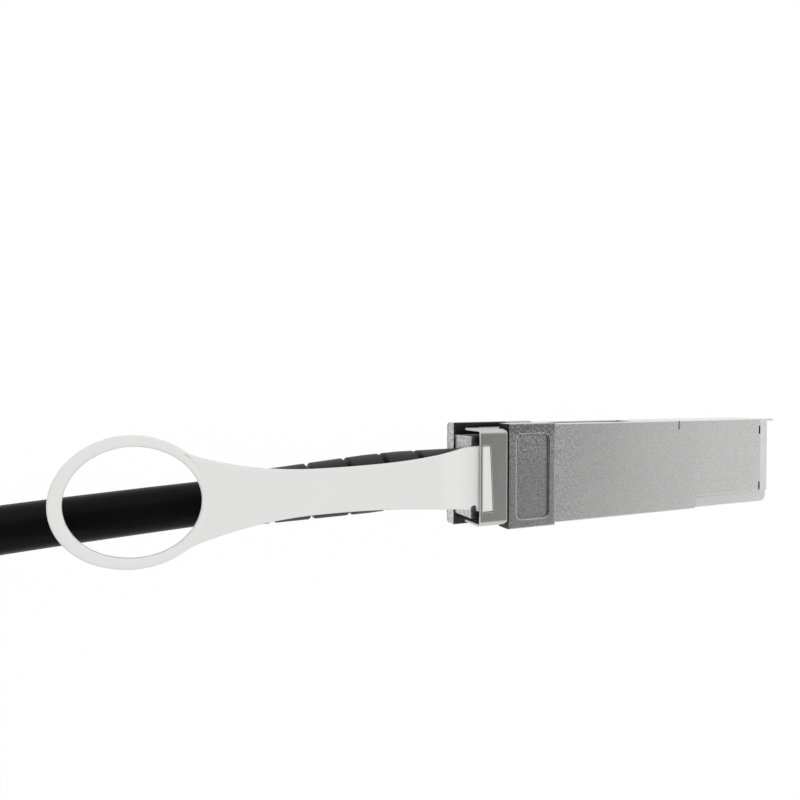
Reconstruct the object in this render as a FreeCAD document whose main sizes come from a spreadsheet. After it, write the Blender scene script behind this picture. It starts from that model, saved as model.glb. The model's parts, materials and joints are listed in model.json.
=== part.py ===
"""Direct attach copper cable: two latching pluggable ends joined by one round cable, in millimetres.

Plug frame: +X along the plug towards its nose, +Y to the right-hand side seen from the cable, +Z out of
the face that carries the pull tab. The origin is on the underside, below the middle of the raised block.
The near plug sits in this frame, and the far plug is the same set of pieces moved along X and Y.
"""
import FreeCAD
import Part

import math
import os

import Sketcher

Vector = FreeCAD.Vector

doc = FreeCAD.newDocument("DirectAttachCable")

# ---------------------------------------------------------------- sizes

SIZES = {
    "die-cast housing": {
        "module_width": 18.35,
        "module_height": 8.5,
        "belly_rise": 0.9,
        "nose_reach": 64.0,
        "block_front": 5.15,
        "block_length": 10.05,
        "block_width": 18.85,
        "block_height": 10.3,
        "split_height": 7.0,
        "floor_thick": 1.2,
        "roof_thick": 1.2,
        "nose_wall": 0.95,
        "latch_wall": 1.95,
        "cavity_start": 6.0,
        "cavity_step": 28.0,
        "tail_length": 6.75,
        "tail_toe": 0.3,
        "tower_width": 14.4,
        "tower_top": 8.44,
        "belly_radius": 0.8,
        "edge_radius": 0.2,
        "base_setback": 0.6,
        "mouth_length": 9.4,
        "ledge_end": 52.0,
        "ledge_width": 1.0,
    },
    "cover details": {
        "recess_place": 0.27,
        "recess_side": -0.15,
        "recess_length": 7.2,
        "recess_width": 15.5,
        "recess_depth": 0.35,
        "recess_corner": 1.2,
        "shelf_start": 42.0,
        "shelf_width": 2.5,
        "shelf_depth": 0.8,
        "shelf_corner": 0.9,
        "nose_corner": 1.4,
        "lead_in": 2.75,
        "lead_drop": 0.5,
        "slit_place": 60.9,
        "slit_width": 0.4,
        "slit_length": 1.85,
        "slit_depth": 0.8,
        "slit_right": 6.8,
        "slit_left": -5.55,
        "seam_place": 36.8,
        "seam_width": 0.3,
        "seam_length": 1.8,
        "seam_depth": 0.15,
        "ear_length": 1.95,
        "ear_height": 1.2,
        "ear_thick": 0.45,
        "ear_tip": 0.1,
        "cut_past": 0.4,
    },
    "latch": {
        "sheet": 0.4,
        "bracket_width": 17.1,
        "bracket_length": 5.5,
        "bracket_gap": 0.4,
        "bracket_bend": 1.0,
        "bracket_corner": 0.35,
        "flange_low": 4.9,
        "bar_width": 0.5,
        "slot_side": -0.15,
        "slot_length": 11.75,
        "slot_narrow": 1.6,
        "slot_wide": 2.2,
        "channel_low": 2.6,
        "channel_play": 0.1,
        "channel_end": 26.5,
        "arm_low": 3.2,
        "arm_high": 6.6,
        "arm_reach": 20.0,
        "arm_overlap": 2.0,
        "tip_length": 4.0,
        "tip_out": 0.4,
        "latch_travel": 2.5,
        "travel_room": 0.7,
        "lug_place": 3.0,
        "lug_depth": 1.7,
        "lug_height": 1.6,
    },
    "return springs": {
        "spring_outer": 1.6,
        "spring_wire": 0.25,
        "spring_turns": 6,
        "spring_sides": 8,
        "spring_inset": 1.0,
        "spring_length": 6.3,
        "pocket_room": 0.15,
        "pocket_break": 0.1,
        "spring_end_play": 0.025,
    },
    "pull tab": {
        "tab_thick": 1.0,
        "tab_gap": 0.3,
        "tab_tongue_low": 8.75,
        "tab_tongue_thick": 0.9,
        "tab_hook_top": 10.2,
        "tab_play": 0.1,
        "ramp_front": -13.0,
        "ramp_rear": -19.0,
        "tongue_half": 5.45,
        "waist_place": -38.5,
        "waist_half": 3.6,
        "neck_end": -59.0,
        "neck_end_half": 6.5,
        "ring_fillet": 2.5,
        "ring_centre": -66.3,
        "ring_long": 10.45,
        "ring_half": 9.25,
        "hole_centre": -66.2,
        "hole_long": 8.9,
        "hole_half": 7.7,
        "notch_radius": 0.8,
        "notch_place": -11.6,
        "notch_side": 5.55,
    },
    "cable": {
        "cable_axis": 5.0,
        "cable_diameter": 6.8,
        "jacket_end": -14.0,
        "shield_diameter": 4.6,
        "shield_end": 2.0,
        "crimp_start": -3.2,
        "crimp_length": 3.2,
        "crimp_wall": 0.65,
        "bore_play": 0.05,
    },
    "strain relief": {
        "boot_wall": 1.5,
        "boot_end_wall": 0.7,
        "core_wall": 0.35,
        "rib_sink": 0.2,
        "boot_taper_start": -30.0,
        "boot_gap": 0.1,
        "groove_first": -20.8,
        "groove_pitch": 6.4,
        "groove_count": 5,
        "groove_half": 0.5,
        "neck_wall": 0.7,
        "flange_rise": 1.2,
        "flange_start": -4.6,
        "flange_length": 1.2,
        "boot_flat": 8.4,
        "boot_flat_run": 6.2,
    },
    "circuit card": {
        "card_low": 4.65,
        "card_thick": 1.0,
        "card_setback": 1.6,
        "card_rear": 22.0,
        "card_play": 0.12,
        "card_corner": 0.35,
        "contact_pitch": 0.8,
        "contact_count": 19,
        "contact_width": 0.55,
        "contact_length": 4.8,
        "contact_setback": 0.55,
        "contact_thick": 0.05,
        "chip_size": 3.0,
        "chip_height": 0.8,
        "chip_place": 34.0,
        "chip_side": 3.0,
        "capacitor_length": 1.0,
        "capacitor_width": 0.5,
        "capacitor_place": 48.0,
        "capacitor_pitch": 1.6,
        "capacitor_count": 8,
    },
    "conductor pairs": {
        "pair_radius": 0.5,
        "bundle_pitch": 1.1,
        "bundle_rise": 0.6,
        "pair_straight": 4.0,
        "pair_landing": 18.0,
        "pair_pitch": 3.2,
        "pair_end": 25.0,
        "pairs_per_side": 4,
        "mould_start": 21.0,
        "mould_length": 5.0,
        "mould_width": 12.6,
        "mould_low": 3.0,
        "mould_high": 7.3,
    },
    "cover screws": {
        "screw_place": 1.5,
        "screw_side": 4.9,
        "screw_radius": 0.8,
        "screw_top": 9.2,
        "head_radius": 1.3,
        "head_low": 0.1,
        "head_thick": 0.9,
        "screw_play": 0.06,
        "thread_play": 0.02,
        "drive_size": 0.7,
        "drive_depth": 0.5,
    },
    "coil and far end": {
        "coil_x": -133.0,
        "coil_y": -48.9,
        "coil_radius": 39.0,
        "coil_lift": 0.8,
        "stub_length": 25.0,
        "tie_width": 12.0,
        "far_x": 3.0,
        "far_y": -93.0,
    },
}


def write_sizes():
    """One row for each size: its alias as a label, and its value in a cell with that alias."""
    sheet = doc.addObject("Spreadsheet::Sheet", "sizes")
    row = 0
    for group, entries in SIZES.items():
        row += 1
        sheet.set("A%d" % row, group)
        for alias, value in entries.items():
            row += 1
            sheet.set("A%d" % row, alias)
            sheet.set("B%d" % row, str(value))
            sheet.setAlias("B%d" % row, alias)
    doc.recompute()
    return sheet


sizes = write_sizes()


def value(expression):
    """The number that an expression on the sizes stands for."""
    return float(sizes.evalExpression(expression))


# ---------------------------------------------------------------- modelling helpers

PLUGS = {"": ("0", "0"), "far_": ("far_x", "far_y")}
nodes = []


def add_node(obj, name, prefix=""):
    """Registers a finished sub-part, and places it with the plug that it belongs to."""
    obj.Label = prefix + name
    for axis, shift in zip("xy", PLUGS[prefix]):
        if shift != "0":
            obj.setExpression("Placement.Base." + axis, "sizes." + shift)
    nodes.append(obj)
    return obj


def new_body(name, prefix, several=False):
    body = doc.addObject("PartDesign::Body", prefix + name + "_body")
    body.AllowCompound = several
    return body


def origin_plane(body, role):
    return next(f for f in body.Origin.OriginFeatures if f.Role == role)


def new_sketch(body, role, offset):
    sketch = body.newObject("Sketcher::SketchObject", "Outline")
    sketch.AttachmentSupport = [(origin_plane(body, role), "")]
    sketch.MapMode = "FlatFace"
    sketch.setExpression("AttachmentOffset.Base.z", offset)
    return sketch


def pin_point(sketch, geometry, end, x, y):
    """Holds one sketch point at two expressions, measured from the sketch's origin."""
    for kind, expression in (("DistanceX", x), ("DistanceY", y)):
        number = value(expression)
        held = Sketcher.Constraint(kind, -1, 1, geometry, end, number)
        index = sketch.addConstraint(held)
        sketch.setExpression("Constraints[%d]" % index, expression)


def draw_polygon(sketch, corners):
    """Closed outline through corners, each a pair of expressions."""
    first = sketch.GeometryCount
    count = len(corners)
    places = [Vector(value(x), value(y), 0) for x, y in corners]
    for i in range(count):
        sketch.addGeometry(Part.LineSegment(places[i], places[(i + 1) % count]), False)
    for i in range(count):
        sketch.addConstraint(Sketcher.Constraint("Coincident", first + i, 2, first + (i + 1) % count, 1))
        pin_point(sketch, first + i, 1, *corners[i])


def draw_circle(sketch, x, y, radius):
    circle = Part.Circle(Vector(value(x), value(y), 0), Vector(0, 0, 1), value(radius))
    index = sketch.addGeometry(circle, False)
    pin_point(sketch, index, 3, x, y)
    held = sketch.addConstraint(Sketcher.Constraint("Radius", index, value(radius)))
    sketch.setExpression("Constraints[%d]" % held, radius)


def extrude(body, kind, role, low, high, polygons=(), circles=()):
    """Pads or pockets outlines between two stations along the plane's row axis."""
    across_y = role == "XZ_Plane"
    sketch = new_sketch(body, role, "-(%s)" % high if across_y else low)
    for corners in polygons:
        draw_polygon(sketch, corners)
    for circle in circles:
        draw_circle(sketch, *circle)
    doc.recompute()
    before = body.Shape.Volume if body.Tip else 0.0
    feature = body.newObject("PartDesign::" + kind, kind)
    feature.Profile = sketch
    feature.setExpression("Length", "(%s) - (%s)" % (high, low))
    feature.Reversed = kind == "Pocket"
    doc.recompute()
    change = body.Shape.Volume - before
    if change == 0.0 or (change > 0) != (kind == "Pad"):
        raise ValueError("%s of %s changes its volume by %g" % (kind, body.Name, change))
    return feature


def pad(body, role, low, high, polygons=(), circles=()):
    return extrude(body, "Pad", role, low, high, polygons, circles)


def pocket(body, role, low, high, polygons=(), circles=()):
    return extrude(body, "Pocket", role, low, high, polygons, circles)


def rectangle(x_low, x_high, y_low, y_high):
    return [(x_low, y_low), (x_high, y_low), (x_high, y_high), (x_low, y_high)]


def both_sides(corners):
    """An outline on the right-hand side, and its mirror image on the left."""
    return [corners, [(x, "-(%s)" % y) for x, y in reversed(corners)]]


def stepped(x_start, x_step, x_end, half_rear, half_front):
    """A symmetrical outline that widens or narrows at x_step."""
    right = [(x_end, half_front), (x_step, half_front), (x_step, half_rear), (x_start, half_rear)]
    left = [(x, "-(%s)" % y) for x, y in reversed(right)]
    return left + right


def round_edges(body, radius, chosen):
    """Fillets the edges for which chosen(edge) holds, with a radius from the sheet."""
    names = ["Edge%d" % (i + 1) for i, edge in enumerate(body.Shape.Edges) if chosen(edge)]
    if not names:
        raise ValueError("no edge to round on " + body.Name)
    base = body.Tip
    fillet = body.newObject("PartDesign::Fillet", "Fillet")
    fillet.Base = (base, names)
    fillet.setExpression("Radius", radius)
    doc.recompute()
    return fillet


def near(a, b):
    return abs(a - b) < 1e-4


def runs_along(edge, axis):
    """True for a straight edge parallel to a row axis."""
    if not isinstance(edge.Curve, Part.Line):
        return False
    return near(abs(edge.Curve.Direction.dot(axis)), 1.0)


AXIS_X, AXIS_Y, AXIS_Z = Vector(1, 0, 0), Vector(0, 1, 0), Vector(0, 0, 1)

# Stations that several pieces share, each written once as an expression.
BLOCK_FRONT = "sizes.block_front"
BLOCK_REAR = "sizes.block_front - sizes.block_length"
TAIL_END = BLOCK_REAR + " - sizes.tail_length"
TOE_END = TAIL_END + " - sizes.tail_toe"
MODULE_HALF = "sizes.module_width / 2"
BLOCK_HALF = "sizes.block_width / 2"
TOWER_HALF = "sizes.tower_width / 2"
FACE = "sizes.belly_rise + sizes.module_height"
FLOOR = "sizes.belly_rise + sizes.floor_thick"
ROOF = FACE + " - sizes.roof_thick"
NOSE_HALF = "sizes.module_width / 2 - sizes.nose_wall"
LATCH_HALF = "sizes.module_width / 2 - sizes.latch_wall"
BASE_NOSE = "sizes.nose_reach - sizes.base_setback"
PAST_NOSE = "sizes.nose_reach + sizes.cut_past"
PAST_TAIL = TOE_END + " - sizes.cut_past"
SPLIT = "sizes.split_height"
SPRING_SEAT = "sizes.lug_place - sizes.spring_length"
BRACKET_INNER = "sizes.bracket_width / 2 - sizes.sheet"
CHANNEL_HALF = BRACKET_INNER + " - sizes.channel_play"
SPRING_SIDE = BRACKET_INNER + " - sizes.spring_inset"
CABLE_RADIUS = "sizes.cable_diameter / 2"
BOOT_RADIUS = CABLE_RADIUS + " + sizes.boot_wall"
TAB_UNDERSIDE = "sizes.cable_axis + " + BOOT_RADIUS + " + sizes.tab_gap"
NECK_RADIUS = "sizes.shield_diameter / 2 + sizes.neck_wall"
FLANGE_RADIUS = NECK_RADIUS + " + sizes.flange_rise"
BORE = NECK_RADIUS + " + sizes.bore_play"
FLANGE_BORE = FLANGE_RADIUS + " + sizes.bore_play"
CARD_TOP = "sizes.card_low + sizes.card_thick"
BRACKET_FRONT = BLOCK_REAR + " - sizes.bracket_gap"
BRACKET_REAR = BRACKET_FRONT + " - sizes.bracket_length"
PLATE_LOW = "sizes.block_height - sizes.sheet"


def cable_passage(body):
    """Bore for the strain relief's neck, with the groove that its flange is caught in."""
    axis = ("0", "sizes.cable_axis")
    pocket(body, "YZ_Plane", PAST_TAIL, "sizes.cavity_start + sizes.cut_past", circles=[axis + (BORE,)])
    start = "sizes.flange_start - sizes.bore_play"
    end = "sizes.flange_start + sizes.flange_length + sizes.bore_play"
    pocket(body, "YZ_Plane", start, end, circles=[axis + (FLANGE_BORE,)])


def screw_places(radius):
    return [("sizes.screw_place", side + "sizes.screw_side", radius) for side in ("", "-")]


# ---------------------------------------------------------------- housing

def housing_base(prefix):
    """Lower half of the casting: block, tail, trough for the card, and the channels of the latch arms."""
    body = new_body("housing_base", prefix)
    pad(body, "XY_Plane", "0", SPLIT, [rectangle(BLOCK_REAR, BLOCK_FRONT, "-" + BLOCK_HALF, BLOCK_HALF)])
    trough = rectangle("0", BASE_NOSE, "-" + MODULE_HALF, MODULE_HALF)
    pad(body, "XY_Plane", "sizes.belly_rise", SPLIT, [trough])
    pad(body, "XY_Plane", "0", "sizes.channel_low", [rectangle(TOE_END, "0", "-" + BLOCK_HALF, BLOCK_HALF)])
    pad(body, "XY_Plane", "0", SPLIT, [rectangle(TAIL_END, "0", "-" + TOWER_HALF, TOWER_HALF)])
    ledge_half = NOSE_HALF + " - sizes.ledge_width"
    lower = stepped("sizes.cavity_start", "sizes.ledge_end", PAST_NOSE, ledge_half, NOSE_HALF)
    upper = stepped("sizes.cavity_start", "sizes.cavity_step", PAST_NOSE, LATCH_HALF, NOSE_HALF)
    pocket(body, "XY_Plane", FLOOR, SPLIT, [lower])
    pocket(body, "XY_Plane", "sizes.card_low", SPLIT, [upper])
    mouth = rectangle(BASE_NOSE + " - sizes.mouth_length", PAST_NOSE, "-(%s)" % NOSE_HALF, NOSE_HALF)
    pocket(body, "XY_Plane", "0", FLOOR, [mouth])
    past_side = BLOCK_HALF + " + sizes.cut_past"
    channel = rectangle(BLOCK_REAR + " - sizes.cut_past", "sizes.channel_end", CHANNEL_HALF, past_side)
    pocket(body, "XY_Plane", "sizes.channel_low", SPLIT, both_sides(channel))
    reach = "sizes.spring_outer / 2 + sizes.pocket_room"
    seat = rectangle(SPRING_SEAT, "sizes.lug_place + 2 * sizes.sheet",
                     SPRING_SIDE + " - (%s)" % reach, CHANNEL_HALF + " + sizes.pocket_break")
    pocket(body, "XY_Plane", "sizes.cable_axis - (%s)" % reach, SPLIT, both_sides(seat))
    cable_passage(body)
    pocket(body, "XY_Plane", "-sizes.cut_past", SPLIT,
           circles=screw_places("sizes.screw_radius + sizes.screw_play"))
    pocket(body, "XY_Plane", "-sizes.cut_past", "sizes.head_low + sizes.head_thick",
           circles=screw_places("sizes.head_radius + sizes.screw_play"))
    half = value(BLOCK_HALF)
    round_edges(body, "sizes.belly_radius", lambda edge: runs_along(edge, AXIS_X)
                and near(edge.CenterOfMass.z, 0) and near(abs(edge.CenterOfMass.y), half))
    return add_node(body, "housing_base", prefix)


def housing_cover(prefix):
    """Upper half of the casting: roof with its nose details, raised block with its recess, tower top."""
    body = new_body("housing_cover", prefix)
    pad(body, "XY_Plane", SPLIT, "sizes.block_height",
        [rectangle(BLOCK_REAR, BLOCK_FRONT, "-" + BLOCK_HALF, BLOCK_HALF)])
    pad(body, "XY_Plane", SPLIT, FACE, [rectangle("0", "sizes.nose_reach", "-" + MODULE_HALF, MODULE_HALF)])
    pad(body, "XY_Plane", SPLIT, "sizes.tower_top", [rectangle(TAIL_END, "0", "-" + TOWER_HALF, TOWER_HALF)])
    inside = stepped("sizes.cavity_start", "sizes.cavity_step", PAST_NOSE, LATCH_HALF, NOSE_HALF)
    pocket(body, "XY_Plane", SPLIT, ROOF, [inside])
    cable_passage(body)
    pocket(body, "XY_Plane", SPLIT, "sizes.screw_top", circles=screw_places("sizes.screw_radius"))

    recess = rectangle("sizes.recess_place - sizes.recess_length / 2",
                       "sizes.recess_place + sizes.recess_length / 2",
                       "sizes.recess_side - sizes.recess_width / 2",
                       "sizes.recess_side + sizes.recess_width / 2")
    top = "sizes.block_height + sizes.cut_past"
    pocket(body, "XY_Plane", "sizes.block_height - sizes.recess_depth", top, [recess])
    recess_floor = value("sizes.block_height - sizes.recess_depth")
    round_edges(body, "sizes.recess_corner", lambda edge: runs_along(edge, AXIS_Z)
                and near(edge.BoundBox.ZMin, recess_floor))

    shelf = rectangle("sizes.shelf_start", PAST_NOSE,
                      "-" + BLOCK_HALF, "-(%s) + sizes.shelf_width" % MODULE_HALF)
    pocket(body, "XY_Plane", FACE + " - sizes.shelf_depth", FACE + " + sizes.cut_past", [shelf])
    slope = [("sizes.nose_reach - sizes.lead_in", FACE), ("sizes.nose_reach", FACE + " - sizes.lead_drop"),
             (PAST_NOSE, FACE + " - sizes.lead_drop"), (PAST_NOSE, FACE + " + sizes.cut_past"),
             ("sizes.nose_reach - sizes.lead_in", FACE + " + sizes.cut_past")]
    pocket(body, "XZ_Plane", "-" + BLOCK_HALF, BLOCK_HALF, [slope])
    slits = [rectangle("sizes.slit_place - sizes.slit_width / 2", "sizes.slit_place + sizes.slit_width / 2",
                       side + " - sizes.slit_length / 2", side + " + sizes.slit_length / 2")
             for side in ("sizes.slit_right", "sizes.slit_left")]
    pocket(body, "XY_Plane", FACE + " - sizes.slit_depth", FACE + " + sizes.cut_past", slits)
    seam = rectangle("sizes.seam_place - sizes.seam_width / 2", "sizes.seam_place + sizes.seam_width / 2",
                     MODULE_HALF + " - sizes.seam_length", BLOCK_HALF)
    pocket(body, "XY_Plane", FACE + " - sizes.seam_depth", FACE + " + sizes.cut_past", [seam])

    half, nose = value(MODULE_HALF), value("sizes.nose_reach")
    round_edges(body, "sizes.nose_corner", lambda edge: runs_along(edge, AXIS_Z)
                and near(edge.CenterOfMass.x, nose) and near(edge.CenterOfMass.y, -half))
    shelf_start = value("sizes.shelf_start")
    round_edges(body, "sizes.shelf_corner", lambda edge: runs_along(edge, AXIS_Z)
                and near(edge.CenterOfMass.x, shelf_start) and near(edge.CenterOfMass.y, -half))
    block_top, block_ends = value("sizes.block_height"), (value(BLOCK_REAR), value(BLOCK_FRONT))
    block_half = value(BLOCK_HALF)
    round_edges(body, "sizes.edge_radius", lambda edge: near(edge.CenterOfMass.z, block_top)
                and (any(near(edge.CenterOfMass.x, end) for end in block_ends)
                     or near(abs(edge.CenterOfMass.y), block_half)))

    ear_side = MODULE_HALF + " - sizes.ear_thick"
    ear = [("sizes.nose_reach - sizes.cut_past", FACE + " - sizes.lead_drop"),
           ("sizes.nose_reach - sizes.cut_past", FACE + " - sizes.lead_drop - sizes.ear_height"),
           ("sizes.nose_reach", FACE + " - sizes.lead_drop - sizes.ear_height"),
           ("sizes.nose_reach + sizes.ear_length", FACE + " - sizes.lead_drop - sizes.ear_tip"),
           ("sizes.nose_reach + sizes.ear_length", FACE + " - sizes.lead_drop")]
    pad(body, "XZ_Plane", ear_side, MODULE_HALF, [ear])
    return add_node(body, "housing_cover", prefix)


def cover_screws(prefix):
    """Two screws that go in from the underside, each with a hexagonal drive socket."""
    body = new_body("cover_screws", prefix, several=True)
    pad(body, "XY_Plane", "sizes.head_low", "sizes.head_low + sizes.head_thick",
        circles=screw_places("sizes.head_radius"))
    pad(body, "XY_Plane", "sizes.head_low", "sizes.screw_top - sizes.screw_play",
        circles=screw_places("sizes.screw_radius - sizes.thread_play"))
    sockets = []
    for side in ("", "-"):
        corners = []
        for k in range(6):
            turn = "%d deg" % (60 * k)
            corners.append(("sizes.screw_place + sizes.drive_size * cos(%s)" % turn,
                            "%ssizes.screw_side + sizes.drive_size * sin(%s)" % (side, turn)))
        sockets.append(corners)
    pocket(body, "XY_Plane", "sizes.head_low - sizes.cut_past", "sizes.head_low + sizes.drive_depth", sockets)
    return add_node(body, "cover_screws", prefix)


# ---------------------------------------------------------------- latch

def latch_bracket(prefix):
    """Bent sheet bracket: slotted bridge, two flanges, and arms that end in outward-bent tips."""
    body = new_body("latch_bracket", prefix)
    half, inner = "sizes.bracket_width / 2", BRACKET_INNER
    pad(body, "XY_Plane", "sizes.flange_low", "sizes.block_height",
        [rectangle(BRACKET_REAR, BRACKET_FRONT, "-" + half, half)])
    top = value("sizes.block_height")
    round_edges(body, "sizes.bracket_bend", lambda edge: runs_along(edge, AXIS_X)
                and near(edge.CenterOfMass.z, top))
    hollow = rectangle(BRACKET_REAR + " - sizes.cut_past", BRACKET_FRONT + " + sizes.cut_past",
                       "-(%s)" % inner, inner)
    pocket(body, "XY_Plane", "sizes.flange_low - sizes.cut_past", PLATE_LOW, [hollow])
    rear, past = BRACKET_REAR + " + sizes.bar_width", "sizes.block_height + sizes.cut_past"
    low_end, high_end = "sizes.slot_side - sizes.slot_length / 2", "sizes.slot_side + sizes.slot_length / 2"
    slot = [(rear, low_end), (rear + " + sizes.slot_wide", low_end),
            (rear + " + sizes.slot_narrow", high_end), (rear, high_end)]
    pocket(body, "XY_Plane", PLATE_LOW + " - sizes.cut_past", past, [slot])
    corner = [(BRACKET_FRONT + " - sizes.bracket_corner", half),
              (BRACKET_FRONT, half + " - sizes.bracket_corner"), (BRACKET_FRONT, half)]
    pocket(body, "XY_Plane", "sizes.arm_high", past, both_sides(corner))
    end = "sizes.arm_reach + sizes.tip_length"
    start = BRACKET_FRONT + " - sizes.arm_overlap"
    arm = [(start, inner), ("sizes.arm_reach", inner), (end, inner + " + sizes.tip_out"),
           (end, half + " + sizes.tip_out"), ("sizes.arm_reach", half), (start, half)]
    pad(body, "XY_Plane", "sizes.arm_low", "sizes.arm_high", both_sides(arm))
    lug = rectangle("sizes.lug_place", "sizes.lug_place + sizes.sheet", inner + " - sizes.lug_depth", half)
    reach = "sizes.lug_height / 2"
    pad(body, "XY_Plane", "sizes.cable_axis - " + reach, "sizes.cable_axis + " + reach, both_sides(lug))
    return add_node(body, "latch_bracket", prefix)


def latch_spring(prefix, name, side):
    """Compression spring between its seat in the housing and the bracket's lug, with flat-sided turns."""
    radius = value("sizes.spring_outer - sizes.spring_wire") / 2
    wire = value("sizes.spring_wire")
    sides, turns = int(value("sizes.spring_sides")), int(value("sizes.spring_turns"))
    play = wire / 2 + value("sizes.spring_end_play")
    low, high = value(SPRING_SEAT) + play, value("sizes.lug_place") - play
    axis = Vector(0, side * value(SPRING_SIDE), value("sizes.cable_axis"))
    count = sides * turns
    points = []
    for k in range(count + 1):
        turn = 2 * math.pi * k / sides
        along = low + (high - low) * k / count
        points.append(axis + Vector(along, radius * math.cos(turn), radius * math.sin(turn)))
    path = Part.makePolygon(points)
    corners = square_corners(points[1] - points[0], points[0] - axis, wire)
    section = Part.makePolygon([points[0] + corner for corner in corners])
    pipe = Part.BRepOffsetAPI.MakePipeShell(path)
    pipe.setFrenetMode(False)
    pipe.setTransitionMode(1)
    pipe.add(section)
    pipe.build()
    pipe.makeSolid()
    spring = doc.addObject("Part::Feature", prefix + name)
    spring.Shape = pipe.shape()
    return add_node(spring, name, prefix)


def square_corners(heading, place, width):
    """Corners of a closed square across heading, with one pair of sides facing the spring's axis."""
    outward = Vector(0, place.y, place.z).normalize()
    along = heading.cross(outward).normalize()
    outward = along.cross(heading).normalize()
    half = width / 2
    ring = [(1, 1), (-1, 1), (-1, -1), (1, -1), (1, 1)]
    return [outward * (a * half) + along * (b * half) for a, b in ring]


# ---------------------------------------------------------------- pull tab

def pull_tab(prefix):
    """Moulded strap: hooked tongue in the bracket's slot, waisted neck and finger ring.

    Its outline seen from above is crossed with its outline seen from the side."""
    low, high = value("sizes.tab_tongue_low"), value(TAB_UNDERSIDE + " + sizes.tab_thick")
    depth = high - low
    ring_place = value("sizes.ring_centre")
    ring = prism(ellipse_face(ring_place, value("sizes.ring_long"), value("sizes.ring_half"), low), depth)
    hole_place = value("sizes.hole_centre")
    hole = prism(ellipse_face(hole_place, value("sizes.hole_long"), value("sizes.hole_half"), low), depth)
    plan = blend_neck(ring.fuse(prism(neck_face(low), depth))).cut(hole)
    notch = Part.makeCylinder(value("sizes.notch_radius"), depth,
                              Vector(value("sizes.notch_place"), -value("sizes.notch_side"), low))
    body = plan.cut(notch).common(side_outline())
    tab = doc.addObject("Part::Feature", prefix + "pull_tab")
    tab.Shape = body.removeSplitter().Solids[0]
    return add_node(tab, "pull_tab", prefix)


def blend_neck(plan):
    """Rounds the two inner corners where the neck runs into the ring."""
    rear, waist = value("sizes.neck_end"), value("sizes.waist_place")
    corners = [edge for edge in plan.Edges if edge.BoundBox.ZLength > edge.BoundBox.DiagonalLength - 1e-4
               and rear < edge.CenterOfMass.x < waist - value("sizes.ring_fillet")]
    if len(corners) != 2:
        raise ValueError("%d corners between neck and ring, not 2" % len(corners))
    return plan.makeFillet(value("sizes.ring_fillet"), corners)


def prism(face, height):
    return face.extrude(Vector(0, 0, height))


def ellipse_face(centre, long_half, cross_half, z):
    """Face inside an ellipse whose longer half lies along X."""
    ellipse = Part.Ellipse(Vector(centre, 0, z), long_half, cross_half)
    return Part.Face(Part.Wire(ellipse.toShape()))


def neck_face(z):
    """Strap between the ring and the slot: two arcs that meet level at the waist, on each side."""
    hook = value(BRACKET_REAR + " + sizes.bar_width + sizes.tab_play")
    right_side = value("sizes.slot_side + sizes.slot_length / 2 - sizes.tab_play")
    left_side = value("sizes.slot_side - sizes.slot_length / 2 + sizes.tab_play")
    front_left = hook + value("sizes.slot_wide - 2 * sizes.tab_play")
    front_right = hook + value("sizes.slot_narrow - 2 * sizes.tab_play")
    waist = (value("sizes.waist_place"), value("sizes.waist_half"))
    shoulder = (value("sizes.ramp_front"), value("sizes.tongue_half"))
    ring_end = (value("sizes.neck_end"), value("sizes.neck_end_half"))
    arcs = [level_arc(shoulder, waist, z), level_arc(ring_end, waist, z)]
    arcs += [edge.mirror(Vector(0, 0, 0), AXIS_Y) for edge in arcs]
    tongue = [(shoulder[0], shoulder[1]), (hook, right_side), (front_right, right_side),
              (front_left, left_side), (hook, left_side), (shoulder[0], -shoulder[1])]
    far = [(ring_end[0], ring_end[1]), (ring_end[0], -ring_end[1])]
    runs = [Part.makePolygon([Vector(x, y, z) for x, y in corners]).Edges for corners in (tongue, far)]
    return Part.Face(Part.Wire(Part.__sortEdges__(arcs + runs[0] + runs[1])))


def level_arc(start, waist, z):
    """Arc from start to waist that is parallel to the X axis at the waist."""
    run, rise = start[0] - waist[0], start[1] - waist[1]
    radius = (run * run + rise * rise) / (2 * rise)
    half_run = run / 2
    middle = waist[1] + radius - math.sqrt(radius * radius - half_run * half_run)
    return Part.Arc(Vector(start[0], start[1], z), Vector(waist[0] + half_run, middle, z),
                    Vector(waist[0], waist[1], z)).toShape()


def side_outline():
    """Strap seen from the side, as wide as the ring: tongue, hook, ramp and the run above the cable."""
    thick, tongue = value("sizes.tab_thick"), value("sizes.tab_tongue_thick")
    low, run = value("sizes.tab_tongue_low"), value(TAB_UNDERSIDE)
    hook = value(BRACKET_REAR + " + sizes.bar_width + sizes.tab_play")
    front = hook + value("sizes.slot_wide")
    ramp_front, ramp_rear = value("sizes.ramp_front"), value("sizes.ramp_rear")
    end = value("sizes.ring_centre - sizes.ring_long") - thick
    half = value("sizes.ring_half") + thick
    outline = [(front, low), (ramp_front, low), (ramp_rear, run), (end, run), (end, run + thick),
               (ramp_rear, run + thick), (ramp_front, low + tongue), (hook, low + tongue),
               (hook, value("sizes.tab_hook_top")), (front, value("sizes.tab_hook_top")), (front, low)]
    face = Part.Face(Part.makePolygon([Vector(x, -half, z) for x, z in outline]))
    return face.extrude(Vector(0, 2 * half, 0))


# ---------------------------------------------------------------- circuit card

def card_station(text):
    return "sizes.nose_reach - sizes.card_setback" + text


def paddle_card(prefix):
    """Card that lies on the base's ledges, narrower where the walls are thick."""
    body = new_body("paddle_card", prefix)
    outline = stepped("sizes.card_rear", "sizes.cavity_step + sizes.card_play", card_station(""),
                      LATCH_HALF + " - sizes.card_play", NOSE_HALF + " - sizes.card_play")
    pad(body, "XY_Plane", "sizes.card_low", CARD_TOP, [outline])
    front = value(card_station(""))
    round_edges(body, "sizes.card_corner", lambda edge: runs_along(edge, AXIS_Z)
                and near(edge.CenterOfMass.x, front))
    return add_node(body, "paddle_card", prefix)


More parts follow.
